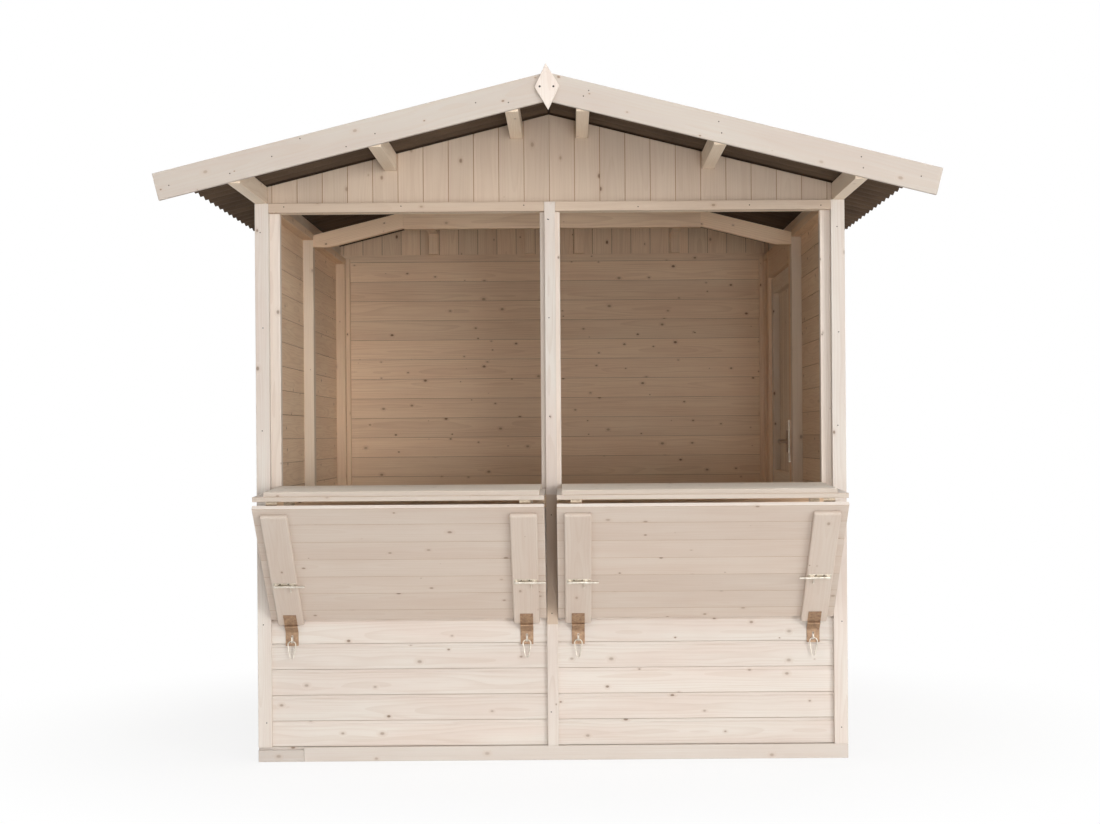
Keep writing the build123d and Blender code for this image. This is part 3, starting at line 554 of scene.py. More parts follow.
# wall: corner at the inner bottom start, ways along and outward, length and height
def layShiplap(bm, wall):
    along, outward = Vector(wall["along"]), Vector(wall["outward"])
    turn = Matrix((along, outward, up)).transposed().to_4x4()
    count = math.ceil(wall["height"] / shiplap["cover"] - 0.05)
    for index in range(count):
        board = newTimber()
        rim = [board.verts.new((0, depth, height))
               for depth, height in shiplapOutline(boardThickness)]
        grown = bmesh.ops.extrude_face_region(board, geom=[board.faces.new(rim)])
        ends = [item for item in grown["geom"] if isinstance(item, bmesh.types.BMVert)]
        bmesh.ops.translate(board, verts=ends, vec=(wall["length"], 0, 0))
        place = Vector(wall["corner"]) + up * (index * shiplap["cover"])
        bmesh.ops.transform(board, matrix=Matrix.Translation(place) @ turn, verts=board.verts)
        bmesh.ops.recalc_face_normals(board, faces=board.faces)
        trim(board, Vector(wall["corner"]) + up * wall["height"], up)
        for point, normal in wall.get("trims", ()):
            trim(board, Vector(point), Vector(normal))
        if not board.faces:
            board.free()
            continue
        markGrain(board, board.verts, along, up, outward, place + up * shiplap["cover"] / 2)
        # the inner groove takes the joint material, painted shade in the groove; inner faces take the
        # inner wood
        for face in board.faces:
            depth = (face.calc_center_median() - Vector(wall["corner"])).dot(outward)
            if shiplap["innerEdge"] < depth < shiplap["innerDepth"] + shiplap["innerEdge"]:
                face.material_index = 2      # the groove on the inside is brown with shade
            elif face.normal.dot(outward) < -0.3:
                face.material_index = 1
        append(bm, board)


def shiplapWall(name, node, walls):
    bm = newTimber()
    for wall in walls:
        layShiplap(bm, wall)
    return finishPiece(bm, name, "hut", [node], [spruceBoards, spruceInner, spruceJointShade])


lowFront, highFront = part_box("front_wall")
lowLeft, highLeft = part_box("left_wall")
lowRear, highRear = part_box("rear_wall")
boardThickness = highFront.y - lowFront.y

shiplapWall("frontWallBoards", "front_wall", [
    {"corner": (start, highFront.y, lowFront.z), "along": (1, 0, 0), "outward": (0, -1, 0),
     "length": highFront.x, "height": highFront.z - lowFront.z} for start in (lowFront.x, 0.0)])
shiplapWall("rearWallBoards", "rear_wall", [
    {"corner": (highRear.x, lowRear.y, lowRear.z), "along": (-1, 0, 0), "outward": (0, 1, 0),
     "length": highRear.x - lowRear.x, "height": highRear.z - lowRear.z}])
shiplapWall("leftWallBoards", "left_wall", [
    {"corner": (highLeft.x, highLeft.y, lowLeft.z), "along": (0, -1, 0), "outward": (-1, 0, 0),
     "length": highLeft.y - lowLeft.y, "height": highLeft.z - lowLeft.z}])
for node, pieceName in (("right_wall_front", "rightWallFrontBoards"),
                        ("right_wall_rear", "rightWallRearBoards"),
                        ("right_wall_over_door", "rightWallOverDoorBoards")):
    low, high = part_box(node)
    # boards line up with those of the whole wall, so the lowest one may be cut
    start = lowLeft.z + math.floor((low.z - lowLeft.z) / shiplap["cover"] + 0.001) * shiplap["cover"]
    shiplapWall(pieceName, node, [
        {"corner": (low.x, low.y, start), "along": (0, 1, 0), "outward": (1, 0, 0),
         "length": high.y - low.y, "height": high.z - start,
         "trims": [((low.x, low.y, low.z), (0, 0, -1))]}])
print("walls boarded")

upright = {"across": (1, 0, 0), "cover": 0.0885, "jointAt": 0.0, "edge": 0.0012,
           "slot": "spruce_boards"}
# the front gable boards take the darker copy, painted shade of the roof overhang
sawBoards("frontGableBoards", ["front_gable"],
          {**upright, "materials": [spruceShadePainted, spruceInner, spruceJointShade],
           "inward": (0, 1, 0)})
sawBoards("rearGableBoards", ["rear_gable"],
          {**upright, "materials": [spruceBoards, spruceInner, spruceJointShade], "inward": (0, -1, 0)})
print("gables boarded")

# frame timbers, strips and trims
squared = {"edge": 0.0015, "materials": [spruceFrame], "slot": "spruce_frame"}
for node in ("front_sills", "middle_posts", "wall_headers", "eaves_purlins",
             "inner_purlins"):
    dressTimbers("dressed_" + node, [node], squared)
dressTimbers("frontPosts", ["front_posts"], {**squared, "materials": [sprucePost]})
indoors = {"edge": 0.0015, "materials": [spruceInner], "slot": "spruce_frame"}
for node in ("rear_posts", "gable_studs", "side_top_rails", "roof_truss", "door_frame"):
    dressTimbers("dressed_" + node, [node], indoors)
planed = {"edge": 0.0015, "materials": [spruceBoards], "slot": "spruce_boards"}
# the ledge strips behind the counters take the warm inner wood, painted shade
dressTimbers("ledgeStrips", ["ledge_strips"], {**planed, "materials": [spruceInner]})
for node in ("front_packers", "corner_trims"):
    dressTimbers("dressed_" + node, [node], planed)

# the centre strip runs up between the two halves of the header strip; between the counters it carries a
# painted shadow, a darker and warmer copy of the wood, where the counters shade it
centre = {"gap": 0.0004, "shadowBand": (0.475, 0.929)}
lowStrip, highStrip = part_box("centre_strip")
lowHeader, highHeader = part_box("header_strip")
strip = newTimber()
addTimber(strip, lowStrip, (highStrip.x, highStrip.y, highHeader.z), planed["edge"])
for level in centre["shadowBand"]:
    bmesh.ops.bisect_plane(strip, geom=strip.verts[:] + strip.edges[:] + strip.faces[:],
                           plane_co=(0, 0, level), plane_no=(0, 0, 1))
for face in strip.faces:
    if centre["shadowBand"][0] < face.calc_center_median().z < centre["shadowBand"][1]:
        face.material_index = 1
finishPiece(strip, "centreStrip", "hut", ["centre_strip"], [spruceBoards, spruceShadePainted])
# the header strips take the darker copy, painted shade of the roof overhang
header = newTimber()
addTimber(header, lowHeader, (lowStrip.x - centre["gap"], highHeader.y, highHeader.z),
          planed["edge"])
addTimber(header, (highStrip.x + centre["gap"], lowHeader.y, lowHeader.z), highHeader,
          planed["edge"])
finishPiece(header, "headerStrips", "hut", ["header_strip"], [spruceShadePainted])
# the strut battens take the struts' darker copy, painted shade
dressTimbers("strutBattens", ["strut_battens"],
             {**planed, "edge": 0.005, "materials": [spruceStrutShade]})
dressTimbers("bargeBoards", ["barge_boards"], {**planed, "materials": [spruceBarge]})
# counter tops take the paler copy, painted light, and their front edges the duller copy, painted shade
dressTimbers("counterTops", ["counter_tops"],
             {**planed, "materials": [spruceShelfLit, spruceEdgeShade], "paintedLightWay": (0, -1, 0)})

# the finials are a little thinner, so that their screws stand inside the frame's box
finialInset = 0.0008
finials = cleanCopy("finials")
lowFinial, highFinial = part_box("finials")
for vert in finials.verts:
    if min(vert.co.y - lowFinial.y, highFinial.y - vert.co.y) < 0.001:
        vert.co.y *= 1 - finialInset / highFinial.y
softenEdges(finials, planed["edge"])
for part in looseParts(finials):
    markGrain(finials, part, Vector((0, 0, 1)), Vector((1, 0, 0)), Vector((0, 1, 0)),
              middleOf(part))
finishPiece(finials, "finialDiamonds", "hut", ["finials"], [spruceBoards])

# ground rails: the front one is in two lengths, and the short one is rebated at the front
groundRail = {"joint": 0.160, "gap": 0.0006, "rebateDepth": 0.014, "rebate": 0.009,
              "edge": 0.0015}

# the ground rails take the darker rail copy, painted shade
rails = newTimber()
for solid in solidsOf("base_rails"):
    low, high = (Vector([pick(vert.co[i] for vert in solid.verts) for i in range(3)])
                 for pick in (min, max))
    solid.free()
    if high.y < 0:
        split = low.x + groundRail["joint"]
        step = low.y + groundRail["rebateDepth"]
        addTimber(rails, (split, low.y, low.z), high, groundRail["edge"])
        shortEnd = split - groundRail["gap"]
        addTimber(rails, low, (shortEnd, step, high.z - groundRail["rebate"]),
                  groundRail["edge"])
        addTimber(rails, (low.x, step, low.z), (shortEnd, high.y, high.z), groundRail["edge"])
    else:
        addTimber(rails, low, high, groundRail["edge"])
finishPiece(rails, "groundRails", "hut", ["base_rails"], [spruceRailShade])
print("frame timbers dressed")

# folding counters
counterBoards = {"cover": 0.090, "first": 0.072, "edge": 0.0006, "slot": "spruce_boards"}
# shelf undersides and strut backs take the warm inner wood, painted shade; shelf front edges take the
# duller copy, painted shade; strut top ends keep the plain board wood, without the painted shade
sawBoards("counterShelfBoards", ["counter_shelves"],
          {**counterBoards, "inward": (0, 0, -1), "paintedLightWay": (0, -1, 0),
           "materials": [spruceBoards, spruceInner, spruceJointShade, spruceEdgeShade]})
sawBoards("counterStrutBoards", ["counter_struts"],
          {**counterBoards, "first": 0.079, "inward": (0, 1, 0), "paintedLightWay": (0, -0.6, 0.8),
           "materials": [spruceStrutShade, spruceInner, spruceJointShade, spruceBoards]})

# door
doorBoards = {"across": (0, 1, 0), "cover": 0.090, "edge": 0.0014, "body": "door",
              "materials": [spruceBoards, spruceFrame, spruceJointShade], "inward": (-1, 0, 0),
              "slot": "spruce_boards"}
sawBoards("doorLeafBoards", ["door_leaf"], doorBoards)
doorTimber = {"edge": 0.0015, "materials": [spruceFrame], "slot": "spruce_boards",
              "body": "door"}
dressTimbers("doorStileTimbers", ["door_stiles"], doorTimber)
dressTimbers("doorLedgeTimbers", ["door_ledges"], doorTimber)
print("counters and door boarded")

# roof: corrugated sheets, their capped nails and the ridge cap
roof = {"pitch": 14.0, "waveHeight": 0.030, "thickness": 0.0028, "topGap": 0.003,
        "wavePitch": 0.095, "stepsPerWave": 16, "capRadius": 0.009, "capRise": 0.004, "capEdge": 0.0008,
        "nailLines": (0.145, 0.557, 1.005)}
lowSheets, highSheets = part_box("roof_sheets")
pitch = math.radians(roof["pitch"])
ridgeLevel = (highSheets.z - roof["waveHeight"] * math.cos(pitch)
              + roof["topGap"] * math.sin(pitch))
slopeLength = (highSheets.x - roof["waveHeight"] * math.sin(pitch)) / math.cos(pitch)
roofDepth = highSheets.y - lowSheets.y
waveCount = round(roofDepth / roof["wavePitch"])
waveTurn = 2 * math.pi * waveCount / roofDepth      # radians of the wave per metre


# Turns a piece drawn on the level, x down the slope and z up, onto one of the slopes
def ontoSlope(bm, side):
    tilt = Matrix.Translation((0, lowSheets.y, ridgeLevel)) @ Matrix.Rotation(pitch, 4, "Y")
    bmesh.ops.transform(bm, matrix=Matrix.Diagonal((side, 1, 1, 1)) @ tilt, verts=bm.verts)


# The middle of the sheet and the way that faces up from it, at y along the ridge
def waveAt(y):
    rise = (roof["waveHeight"] - roof["thickness"]) / 2
    steep = -rise * waveTurn * math.sin(waveTurn * y)
    return (roof["waveHeight"] / 2 + rise * math.cos(waveTurn * y),
            Vector((0, -steep, 1)).normalized())


roofSheets = bmesh.new()
for side in (-1, 1):
    sheet = bmesh.new()
    bmesh.ops.create_grid(sheet, x_segments=6, y_segments=waveCount * roof["stepsPerWave"],
                          size=0.5)
    for vert in sheet.verts:
        x = roof["topGap"] + (vert.co.x + 0.5) * (slopeLength - roof["topGap"])
        y = (vert.co.y + 0.5) * roofDepth
        level, way = waveAt(y)
        vert.co = Vector((x, y, level)) - way * roof["thickness"] / 2
    grown = bmesh.ops.extrude_face_region(sheet, geom=sheet.faces[:])
    for vert in grown["geom"]:
        if isinstance(vert, bmesh.types.BMVert):
            vert.co += waveAt(vert.co.y)[1] * roof["thickness"]
    ontoSlope(sheet, side)
    append(roofSheets, sheet)
finishPiece(roofSheets, "corrugatedSheets", "hut", ["roof_sheets"], [bitumenSheet],
            50)

nailCaps = bmesh.new()
for side in (-1, 1):
    for x in roof["nailLines"]:
        for wave in range(1, waveCount, 2):
            cap = bmesh.new()
            place = (x / math.cos(pitch), wave * roofDepth / waveCount, roof["waveHeight"])
            bmesh.ops.create_uvsphere(cap, u_segments=10, v_segments=6, radius=1.0,
                                      matrix=Matrix.Translation(place) @ Matrix.Diagonal(
                                          (roof["capRadius"], roof["capRadius"],
                                           roof["capRise"], 1)))
            ontoSlope(cap, side)
            append(nailCaps, cap)
finishPiece(nailCaps, "roofNailCaps", "hut", [], [bitumenSheet], 40)

finishPiece(softCopy("ridge_cap", roof["capEdge"], least=0.2), "ridgeCap", "hut",
            ["ridge_cap"], [bitumenSheet])
print("roof laid")

# steel: plates, rods and bent wire that the fittings are made of
# axes: the ways of the plate's width, height and thickness, square to each other
def addPlate(bm, centre, size, axes, corner=0.0, edge=0.0003):
    plate = bmesh.new()
    place = Matrix([Vector(axis) for axis in axes]).transposed().to_4x4()
    bmesh.ops.create_cube(plate, size=1.0, matrix=Matrix.Diagonal((*size, 1)))
    if corner:
        upright = [e for e in plate.edges
                   if abs((e.verts[0].co - e.verts[1].co).z) > size[2] * 0.9]
        bmesh.ops.bevel(plate, geom=upright, offset=corner, offset_type="OFFSET", segments=4,
                        profile=0.5, affect="EDGES", material=-1)
    softenEdges(plate, edge, 1, 0.8)
    bmesh.ops.transform(plate, matrix=Matrix.Translation(centre) @ place, verts=plate.verts)
    append(bm, plate)


def addRod(bm, start, end, radius, sides=16, edge=0.0004):
    rod = bmesh.new()
    way = Vector(end) - Vector(start)
    bmesh.ops.create_cone(rod, cap_ends=True, segments=sides, radius1=radius, radius2=radius,
                          depth=way.length)
    softenEdges(rod, edge, 1, 0.8)
    place = (Matrix.Translation((Vector(start) + Vector(end)) / 2)
             @ way.to_track_quat("Z", "Y").to_matrix().to_4x4())
    bmesh.ops.transform(rod, matrix=place, verts=rod.verts)
    append(bm, rod)


def addScrew(bm, point, way, radius=0.003, rise=0.0009, material=0):
    head = bmesh.new()
    place = Matrix.Translation(point) @ Vector(way).to_track_quat("Z", "Y").to_matrix().to_4x4()
    bmesh.ops.create_cone(head, cap_ends=True, segments=12, radius1=radius, radius2=radius * 0.72,
                          depth=rise, matrix=place @ Matrix.Translation((0, 0, rise / 2)))
    for face in head.faces:
        face.material_index = material
    append(bm, head)


# Wire bent in one plane: `flat` is square to that plane
def addWire(bm, points, radius, flat, closed=False, sides=10):
    wire = bmesh.new()
    flat = Vector(flat)
    rings = []
    count = len(points)
    for index, point in enumerate(points):
        before = points[index - 1] if index or closed else points[index]
        after = points[(index + 1) % count] if index < count - 1 or closed else points[index]
        way = (after - before).normalized()
        place = Matrix((flat, way.cross(flat), way)).transposed().to_4x4()
        ring = bmesh.ops.create_circle(wire, cap_ends=False, segments=sides, radius=radius,
                                       matrix=Matrix.Translation(point) @ place)["verts"]
        rings.append(list(dict.fromkeys(edge for vert in ring for edge in vert.link_edges)))
    pairs = list(zip(rings, rings[1:])) + ([(rings[-1], rings[0])] if closed else [])
    for one, other in pairs:
        bmesh.ops.bridge_loops(wire, edges=one + other)
    if not closed:
        for ring in (rings[0], rings[-1]):
            bmesh.ops.edgeloop_fill(wire, edges=ring)
    append(bm, wire)


# Each corner between the first and the last point becomes a bend of this radius
def roundCorners(points, radius, steps=5):
    route = [points[0]]
    for before, corner, after in zip(points, points[1:], points[2:]):
        start = corner + (before - corner).normalized() * radius
        end = corner + (after - corner).normalized() * radius
        for step in range(steps + 1):
            t = step / steps
            route.append(start.lerp(corner, t).lerp(corner.lerp(end, t), t))
    return route + [points[-1]]


# Way that the largest face of a node looks, among those that look roughly `facing`
def facingOf(node, facing):
    bm = cleanCopy(node)
    faces = [face for face in bm.faces if face.normal.dot(Vector(facing)) > 0.3]
    way = max(faces, key=lambda face: (round(face.calc_area(), 8),
                                       *(round(share, 5) for share in face.normal))).normal.copy()
    bm.free()
    return way


strutOut = facingOf("counter_struts", (0, -1, 0))      # away from the hut, off a strut's face
strutDown = right.cross(strutOut)
shelfUnder = facingOf("counter_shelves", (0, 0, -1))
shelfBack = right.cross(shelfUnder)                    # along the shelf, towards the wall
battens = partReaches("strut_battens", (right, strutOut, strutDown))
battenFace = max(high.y for low, high in battens)
battenFoot = max(high.z for low, high in battens)


# A point that stands `rise` proud of the battens, `down` along the strut
def onBatten(x, down, rise):
    return right * x + strutDown * down + strutOut * (battenFace + rise)


print("steel tools ready")

# hinges of the counters: two leaves with screws round a knuckle of five rolls
hinge = {"width": 0.038, "leaf": 0.032, "plate": 0.002, "radius": 0.005, "rolls": 5,
         "gap": 0.0006, "pin": 0.0022, "corner": 0.003, "screw": 0.0031}


def addLeaf(bm, axis, way, lift, screwWay):
    middle = axis + way * hinge["leaf"] / 2 + lift * (hinge["radius"] - hinge["plate"] / 2)
    addPlate(bm, middle, (hinge["width"], hinge["leaf"], hinge["plate"]),
             (right, way, right.cross(way)), hinge["corner"])
    for across in (-0.3, 0.3):
        for along in (-0.05, 0.3):
            addScrew(bm, middle + right * across * hinge["width"] + way * along * hinge["leaf"]
                     + screwWay * hinge["plate"] / 2, screwWay, hinge["screw"], 0.0006)


hinges = bmesh.new()
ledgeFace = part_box("ledge_strips")[0].y
for low, high in partReaches("counter_hinges"):
    middle = (low.x + high.x) / 2
    if high.y > ledgeFace - 0.001:       # on the ledge strip
        axis = Vector((middle, high.y - hinge["radius"], low.z + hinge["leaf"]))
        addLeaf(hinges, axis, -up, -outFront, outFront)
        addLeaf(hinges, axis, -shelfBack, -shelfUnder, shelfUnder)
    else:                                # on the edge between shelf and strut
        axis = Vector((middle, low.y + hinge["radius"], high.z - hinge["radius"]))
        addLeaf(hinges, axis, shelfBack, -shelfUnder, shelfUnder)
        addLeaf(hinges, axis, strutDown, strutOut, -strutOut)
    roll = hinge["width"] / hinge["rolls"]
    for index in range(hinge["rolls"]):
        start = axis + right * (-hinge["width"] / 2 + index * roll + hinge["gap"] / 2)
        addRod(hinges, start, start + right * (roll - hinge["gap"]), hinge["radius"])
    addRod(hinges, axis - right * hinge["width"] / 2, axis + right * hinge["width"] / 2,
           hinge["pin"])
finishPiece(hinges, "counterHinges", "hut", ["counter_hinges"], [yellowZinc], 35)

# hasps: bent strips with softened edges and three screws in the upper leaf
hasp = {"plate": 0.0025, "edge": 0.0004, "screw": 0.0042,
        "screws": ((-0.012, 0.044), (0.012, 0.044), (0.0, 0.022))}
hasps = bmesh.new()
append(hasps, softCopy("strut_hasps", hasp["edge"], least=0.7))
for low, high in partReaches("strut_hasps"):
    for across, above in hasp["screws"]:
        addScrew(hasps, onBatten((low.x + high.x) / 2 + across, battenFoot - above,
                                 hasp["plate"]), strutOut, hasp["screw"])
finishPiece(hasps, "strutHasps", "hut", ["strut_hasps"], [brownSteel], 35)

# staples and snap hooks of round wire
staple = {"wire": 0.002, "bend": 0.0045}
staples = bmesh.new()
for low, high in partReaches("wall_staples"):
    x, wire = (low.x + high.x) / 2, staple["wire"]
    corners = [Vector((x, y, z)) for y, z in (
        (high.y, high.z - wire), (low.y + wire, high.z - wire), (low.y + wire, low.z + wire),
        (high.y, low.z + wire))]
    addWire(staples, roundCorners(corners, staple["bend"]), wire, right)
finishPiece(staples, "wallStaples", "hut", ["wall_staples"], [zincSteel], 60)

hook = {"nose": 0.008, "rivet": 0.0027, "steps": 20, "sleeves": (0.12, 0.62),
        "halfSleeve": 0.003}
hooks = bmesh.new()
for low, high in partReaches("snap_hooks"):
    x, y = (low.x + high.x) / 2, (low.y + high.y) / 2
    wire = (high.y - low.y) / 2
    eye, nose = (high.x - low.x) / 2 - wire, hook["nose"] - wire
    eyeLevel, noseLevel = high.z - wire - eye, low.z + wire + nose
    lean = math.asin((eye - nose) / (eyeLevel - noseLevel))
    points = []
    for radius, level, first, last in ((eye, eyeLevel, -lean, math.pi + lean),
                                       (nose, noseLevel, math.pi + lean, 2 * math.pi - lean)):
        for step in range(hook["steps"] + 1):
            turn = first + (last - first) * step / hook["steps"]
            points.append(Vector((x + radius * math.cos(turn), y,
                                  level + radius * math.sin(turn))))
    addWire(hooks, points, wire, (0, 1, 0), closed=True)
    # the gate ends in a riveted sleeve at the nose and a stud near the eye
    halfSleeve = (points[0] - points[-1]).normalized() * hook["halfSleeve"]
    for share in hook["sleeves"]:
        gate = points[-1].lerp(points[0], share)
        addRod(hooks, gate - halfSleeve, gate + halfSleeve, hook["rivet"], 12)
finishPiece(hooks, "snapHooks", "hut", ["snap_hooks"], [zincSteel], 60)

# barrel bolts: plate, two arched guides, round bolt and a handle with a ball end
bolt = {"plate": (0.080, 0.024, 0.0015), "radius": 0.004, "length": 0.106, "throw": 0.030,
        "lift": 0.0005, "guide": 0.012, "guideWall": 0.0015, "handle": 0.0024, "ball": 0.0034,
        "handleLength": 0.029, "throws": (1, 1, 1, -1), "screwBeside": 0.014,
        "screwSpread": 0.0075, "screw": 0.0028, "screwRise": 0.0007}
bolts = bmesh.new()
boltAxes = (right, strutDown, strutOut)
for (low, high), throw in zip(partReaches("slide_bolts", (right, strutOut, strutDown)),
                              bolt["throws"]):
    half, thick = bolt["plate"][0] / 2, bolt["plate"][2]
    x = low.x + half if throw > 0 else high.x - half
    level = low.z + bolt["plate"][1] / 2
    addPlate(bolts, onBatten(x, level, thick / 2), bolt["plate"], boltAxes, 0.003)
    axis = thick + bolt["lift"] + bolt["radius"]
    end = x + throw * (half + bolt["throw"])
    addRod(bolts, onBatten(end - throw * bolt["length"], level, axis),
           onBatten(end, level, axis), bolt["radius"], 16, 0.001)
    arch = bolt["radius"] + bolt["guideWall"]
    for side in (-1, 1):
        guide = x + side * (half - bolt["guide"])
        addRod(bolts, onBatten(guide - bolt["guide"] / 2, level, axis),
               onBatten(guide + bolt["guide"] / 2, level, axis), arch, 20, 0.0006)
        addPlate(bolts, onBatten(guide, level, axis / 2), (bolt["guide"], 2 * arch, axis),
                 boltAxes)
        for down in (-bolt["screwSpread"], bolt["screwSpread"]):
            addScrew(bolts, onBatten(guide - side * bolt["screwBeside"], level + down, thick),
                     strutOut, bolt["screw"], bolt["screwRise"], 1)
    grip = x + throw * half / 2
    tip = level + bolt["handleLength"]
    addRod(bolts, onBatten(grip, level, axis), onBatten(grip, tip, axis), bolt["handle"], 12)
    ball = bmesh.new()
    bmesh.ops.create_uvsphere(
        ball, u_segments=12, v_segments=8, radius=bolt["ball"],
        matrix=Matrix.Translation(onBatten(grip, tip - bolt["ball"], axis)))
    append(bolts, ball)
finishPiece(bolts, "slideBolts", "hut", ["slide_bolts"], [zincSteel, blackSteel],
            35)
print("counter fittings made")

# door fittings
doorSteel = {"edge": 0.0005, "plate": 0.003, "bolt": 0.0075, "boltRise": 0.0028,
             "boltsAlong": (0.08, 0.38, 0.68), "screw": 0.0035, "screwInset": 0.009,
             "hingeScrews": (0.1, 0.35, 0.65, 0.9), "keeperScrews": (0.08, 0.92),
             "lip": 0.0026, "lipWidth": 0.003}
straps = bmesh.new()
append(straps, softCopy("door_straps", doorSteel["edge"]))
for low, high in partReaches("door_straps"):
    level, face = (low.z + high.z) / 2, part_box("door_leaf")[1].x + doorSteel["plate"]
    for share in doorSteel["boltsAlong"]:
        place = (face, low.y + share * (high.y - low.y), level)
        head = bmesh.new()
        bmesh.ops.create_uvsphere(head, u_segments=14, v_segments=8, radius=1.0,
                                  matrix=Matrix.Translation(place) @ Matrix.Diagonal(
                                      (doorSteel["boltRise"], doorSteel["bolt"],
                                       doorSteel["bolt"], 1)))
        append(straps, head)
finishPiece(straps, "doorStraps", "door", ["door_straps"], [zincSteel], 35)

plates = bmesh.new()
append(plates, softCopy("door_hinge_plates", doorSteel["edge"]))
for low, high in partReaches("door_hinge_plates"):
    for share in doorSteel["hingeScrews"]:
        addScrew(plates, Vector((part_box("door_leaf")[1].x + doorSteel["plate"],
                                 high.y - doorSteel["screwInset"],
                                 low.z + share * (high.z - low.z))), right,
                 doorSteel["screw"])
finishPiece(plates, "doorHingePlates", "hut", ["door_hinge_plates"], [zincSteel],
            35)

# the keeper has a lip along its door side, which leads the latch in
keeper = cleanCopy("door_keeper")
lowKeeper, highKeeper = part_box("door_keeper")
lip = bmesh.new()
bmesh.ops.create_cube(lip, size=1.0, matrix=Matrix.Translation(
    (lowKeeper.x - doorSteel["lip"] / 2, highKeeper.y - doorSteel["lipWidth"] / 2,
     (lowKeeper.z + highKeeper.z) / 2)) @ Matrix.Diagonal(
         (doorSteel["lip"], doorSteel["lipWidth"], highKeeper.z - lowKeeper.z, 1)))
append(keeper, lip)
softenEdges(keeper, doorSteel["edge"], 1, 0.8)
for share in doorSteel["keeperScrews"]:
    addScrew(keeper, Vector((lowKeeper.x, (lowKeeper.y + highKeeper.y) / 2,
                             lowKeeper.z + share * (highKeeper.z - lowKeeper.z))), -right,
             doorSteel["screw"])
finishPiece(keeper, "doorKeeper", "hut", ["door_keeper"], [zincSteel])

# latch: case and rose with rounded corners, levers of bent round bar
latch = {"bar": 0.0078, "bend": 0.014, "corner": 0.006, "screw": 0.0028, "screwShare": 0.46,
         "plate": {"width": 0.036, "height": 0.120, "thick": 0.003, "spindle": 0.018},
         "case": {"width": 0.060, "height": 0.090, "thick": 0.018, "spindle": 0.038}}
fittings = partReaches("door_latch")
latchPiece = bmesh.new()
leafLow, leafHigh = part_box("door_leaf")
for (low, high), turn in zip(fittings, (-1, 1)):
    # the leaf's face on this side, and how far the plate or case stands off it
    face = leafHigh.x if turn > 0 else high.x
    box = latch["plate" if turn > 0 else "case"]
    width, height, thick = box["width"], box["height"], box["thick"]
    spindle = low.y + box["spindle"]
    level = (low.z + high.z) / 2
    plateMiddle = spindle if turn > 0 else low.y + width / 2
    addPlate(latchPiece, Vector((face + turn * thick / 2, plateMiddle, level)),
             (width, height, thick), ((0, 1, 0), (0, 0, 1), (1, 0, 0)), latch["corner"], 0.0008)
    skin = face + turn * thick
    reach = high.x - latch["bar"] if turn > 0 else low.x + latch["bar"]
    corners = [Vector((skin - turn * 0.001, spindle, level)), Vector((reach, spindle, level)),
               Vector((reach, high.y, level))]
    addWire(latchPiece, roundCorners(corners, latch["bend"], 7), latch["bar"], (0, 0, 1),
            sides=16)
    addRod(latchPiece, Vector((skin, spindle, level)), Vector((skin + turn * 0.004, spindle, level)),
           latch["bar"] * 1.5, 24)
    for rise in (-latch["screwShare"], latch["screwShare"]):
        addScrew(latchPiece, Vector((skin, plateMiddle, level + rise * height)),
                 right * turn, latch["screw"])
finishPiece(latchPiece, "doorLatch", "door", ["door_latch"], [latchSteel], 40)

# nails and screws of the cladding, strips and barge boards
nails = {"radius": 0.0022, "screwRadius": 0.0036, "rise": 0.0006, "doorInset": 0.045,
         "ledgeInset": 0.02, "sway": 0.003, "boardShare": 0.32, "topGap": 0.01,
         "postInset": 0.028, "middleInset": 0.03, "rearColumns": (-0.345, 0.345)}
doorNails = bmesh.new()
for low, high in partReaches("door_ledges"):
    place = leafLow.y + nails["doorInset"]
    while place < leafHigh.y:
        for level in (low.z + nails["ledgeInset"], high.z - nails["ledgeInset"]):
            sway = draw.uniform(-nails["sway"], nails["sway"])
            addScrew(doorNails, Vector((leafHigh.x, place + sway, level)), right,
                     nails["radius"], nails["rise"])
        place += doorBoards["cover"]
finishPiece(doorNails, "doorNails", "door", [], [blackSteel])
print("door fittings made")

nailHeads = bmesh.new()


def driveNail(point, way, radius=nails["radius"]):
    addScrew(nailHeads, Vector(point), Vector(way), radius, nails["rise"])


# one nail through every board at each post; columns are places along the wall
def nailBoards(low, high, columns, place, way):
    sway = nails["sway"]
    level = low + shiplap["cover"] * nails["boardShare"]
    while level < high - nails["topGap"]:
        for column in columns:
            driveNail(place(column + draw.uniform(-sway, sway),
                            level + draw.uniform(-sway, sway)), way)
        level += shiplap["cover"]


leftFace, rightFace = lowLeft.x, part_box("right_wall_front")[1].x
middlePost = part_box("middle_posts")
rearPost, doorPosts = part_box("rear_posts"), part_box("door_frame")
wallTop = highLeft.z
middleColumn = middlePost[0].y + nails["middleInset"]
rearColumn = rearPost[0].y + nails["postInset"]
nailBoards(lowLeft.z, wallTop, [middleColumn, rearColumn], lambda y, z: (leftFace, y, z), (-1, 0, 0))
nailBoards(lowLeft.z, wallTop, [middleColumn, doorPosts[0].y + nails["postInset"],
                                doorPosts[1].y - nails["postInset"], rearColumn],
           lambda y, z: (rightFace, y, z), (1, 0, 0))
nailBoards(lowRear.z, highRear.z, nails["rearColumns"], lambda x, z: (x, highRear.y, z), (0, 1, 0))

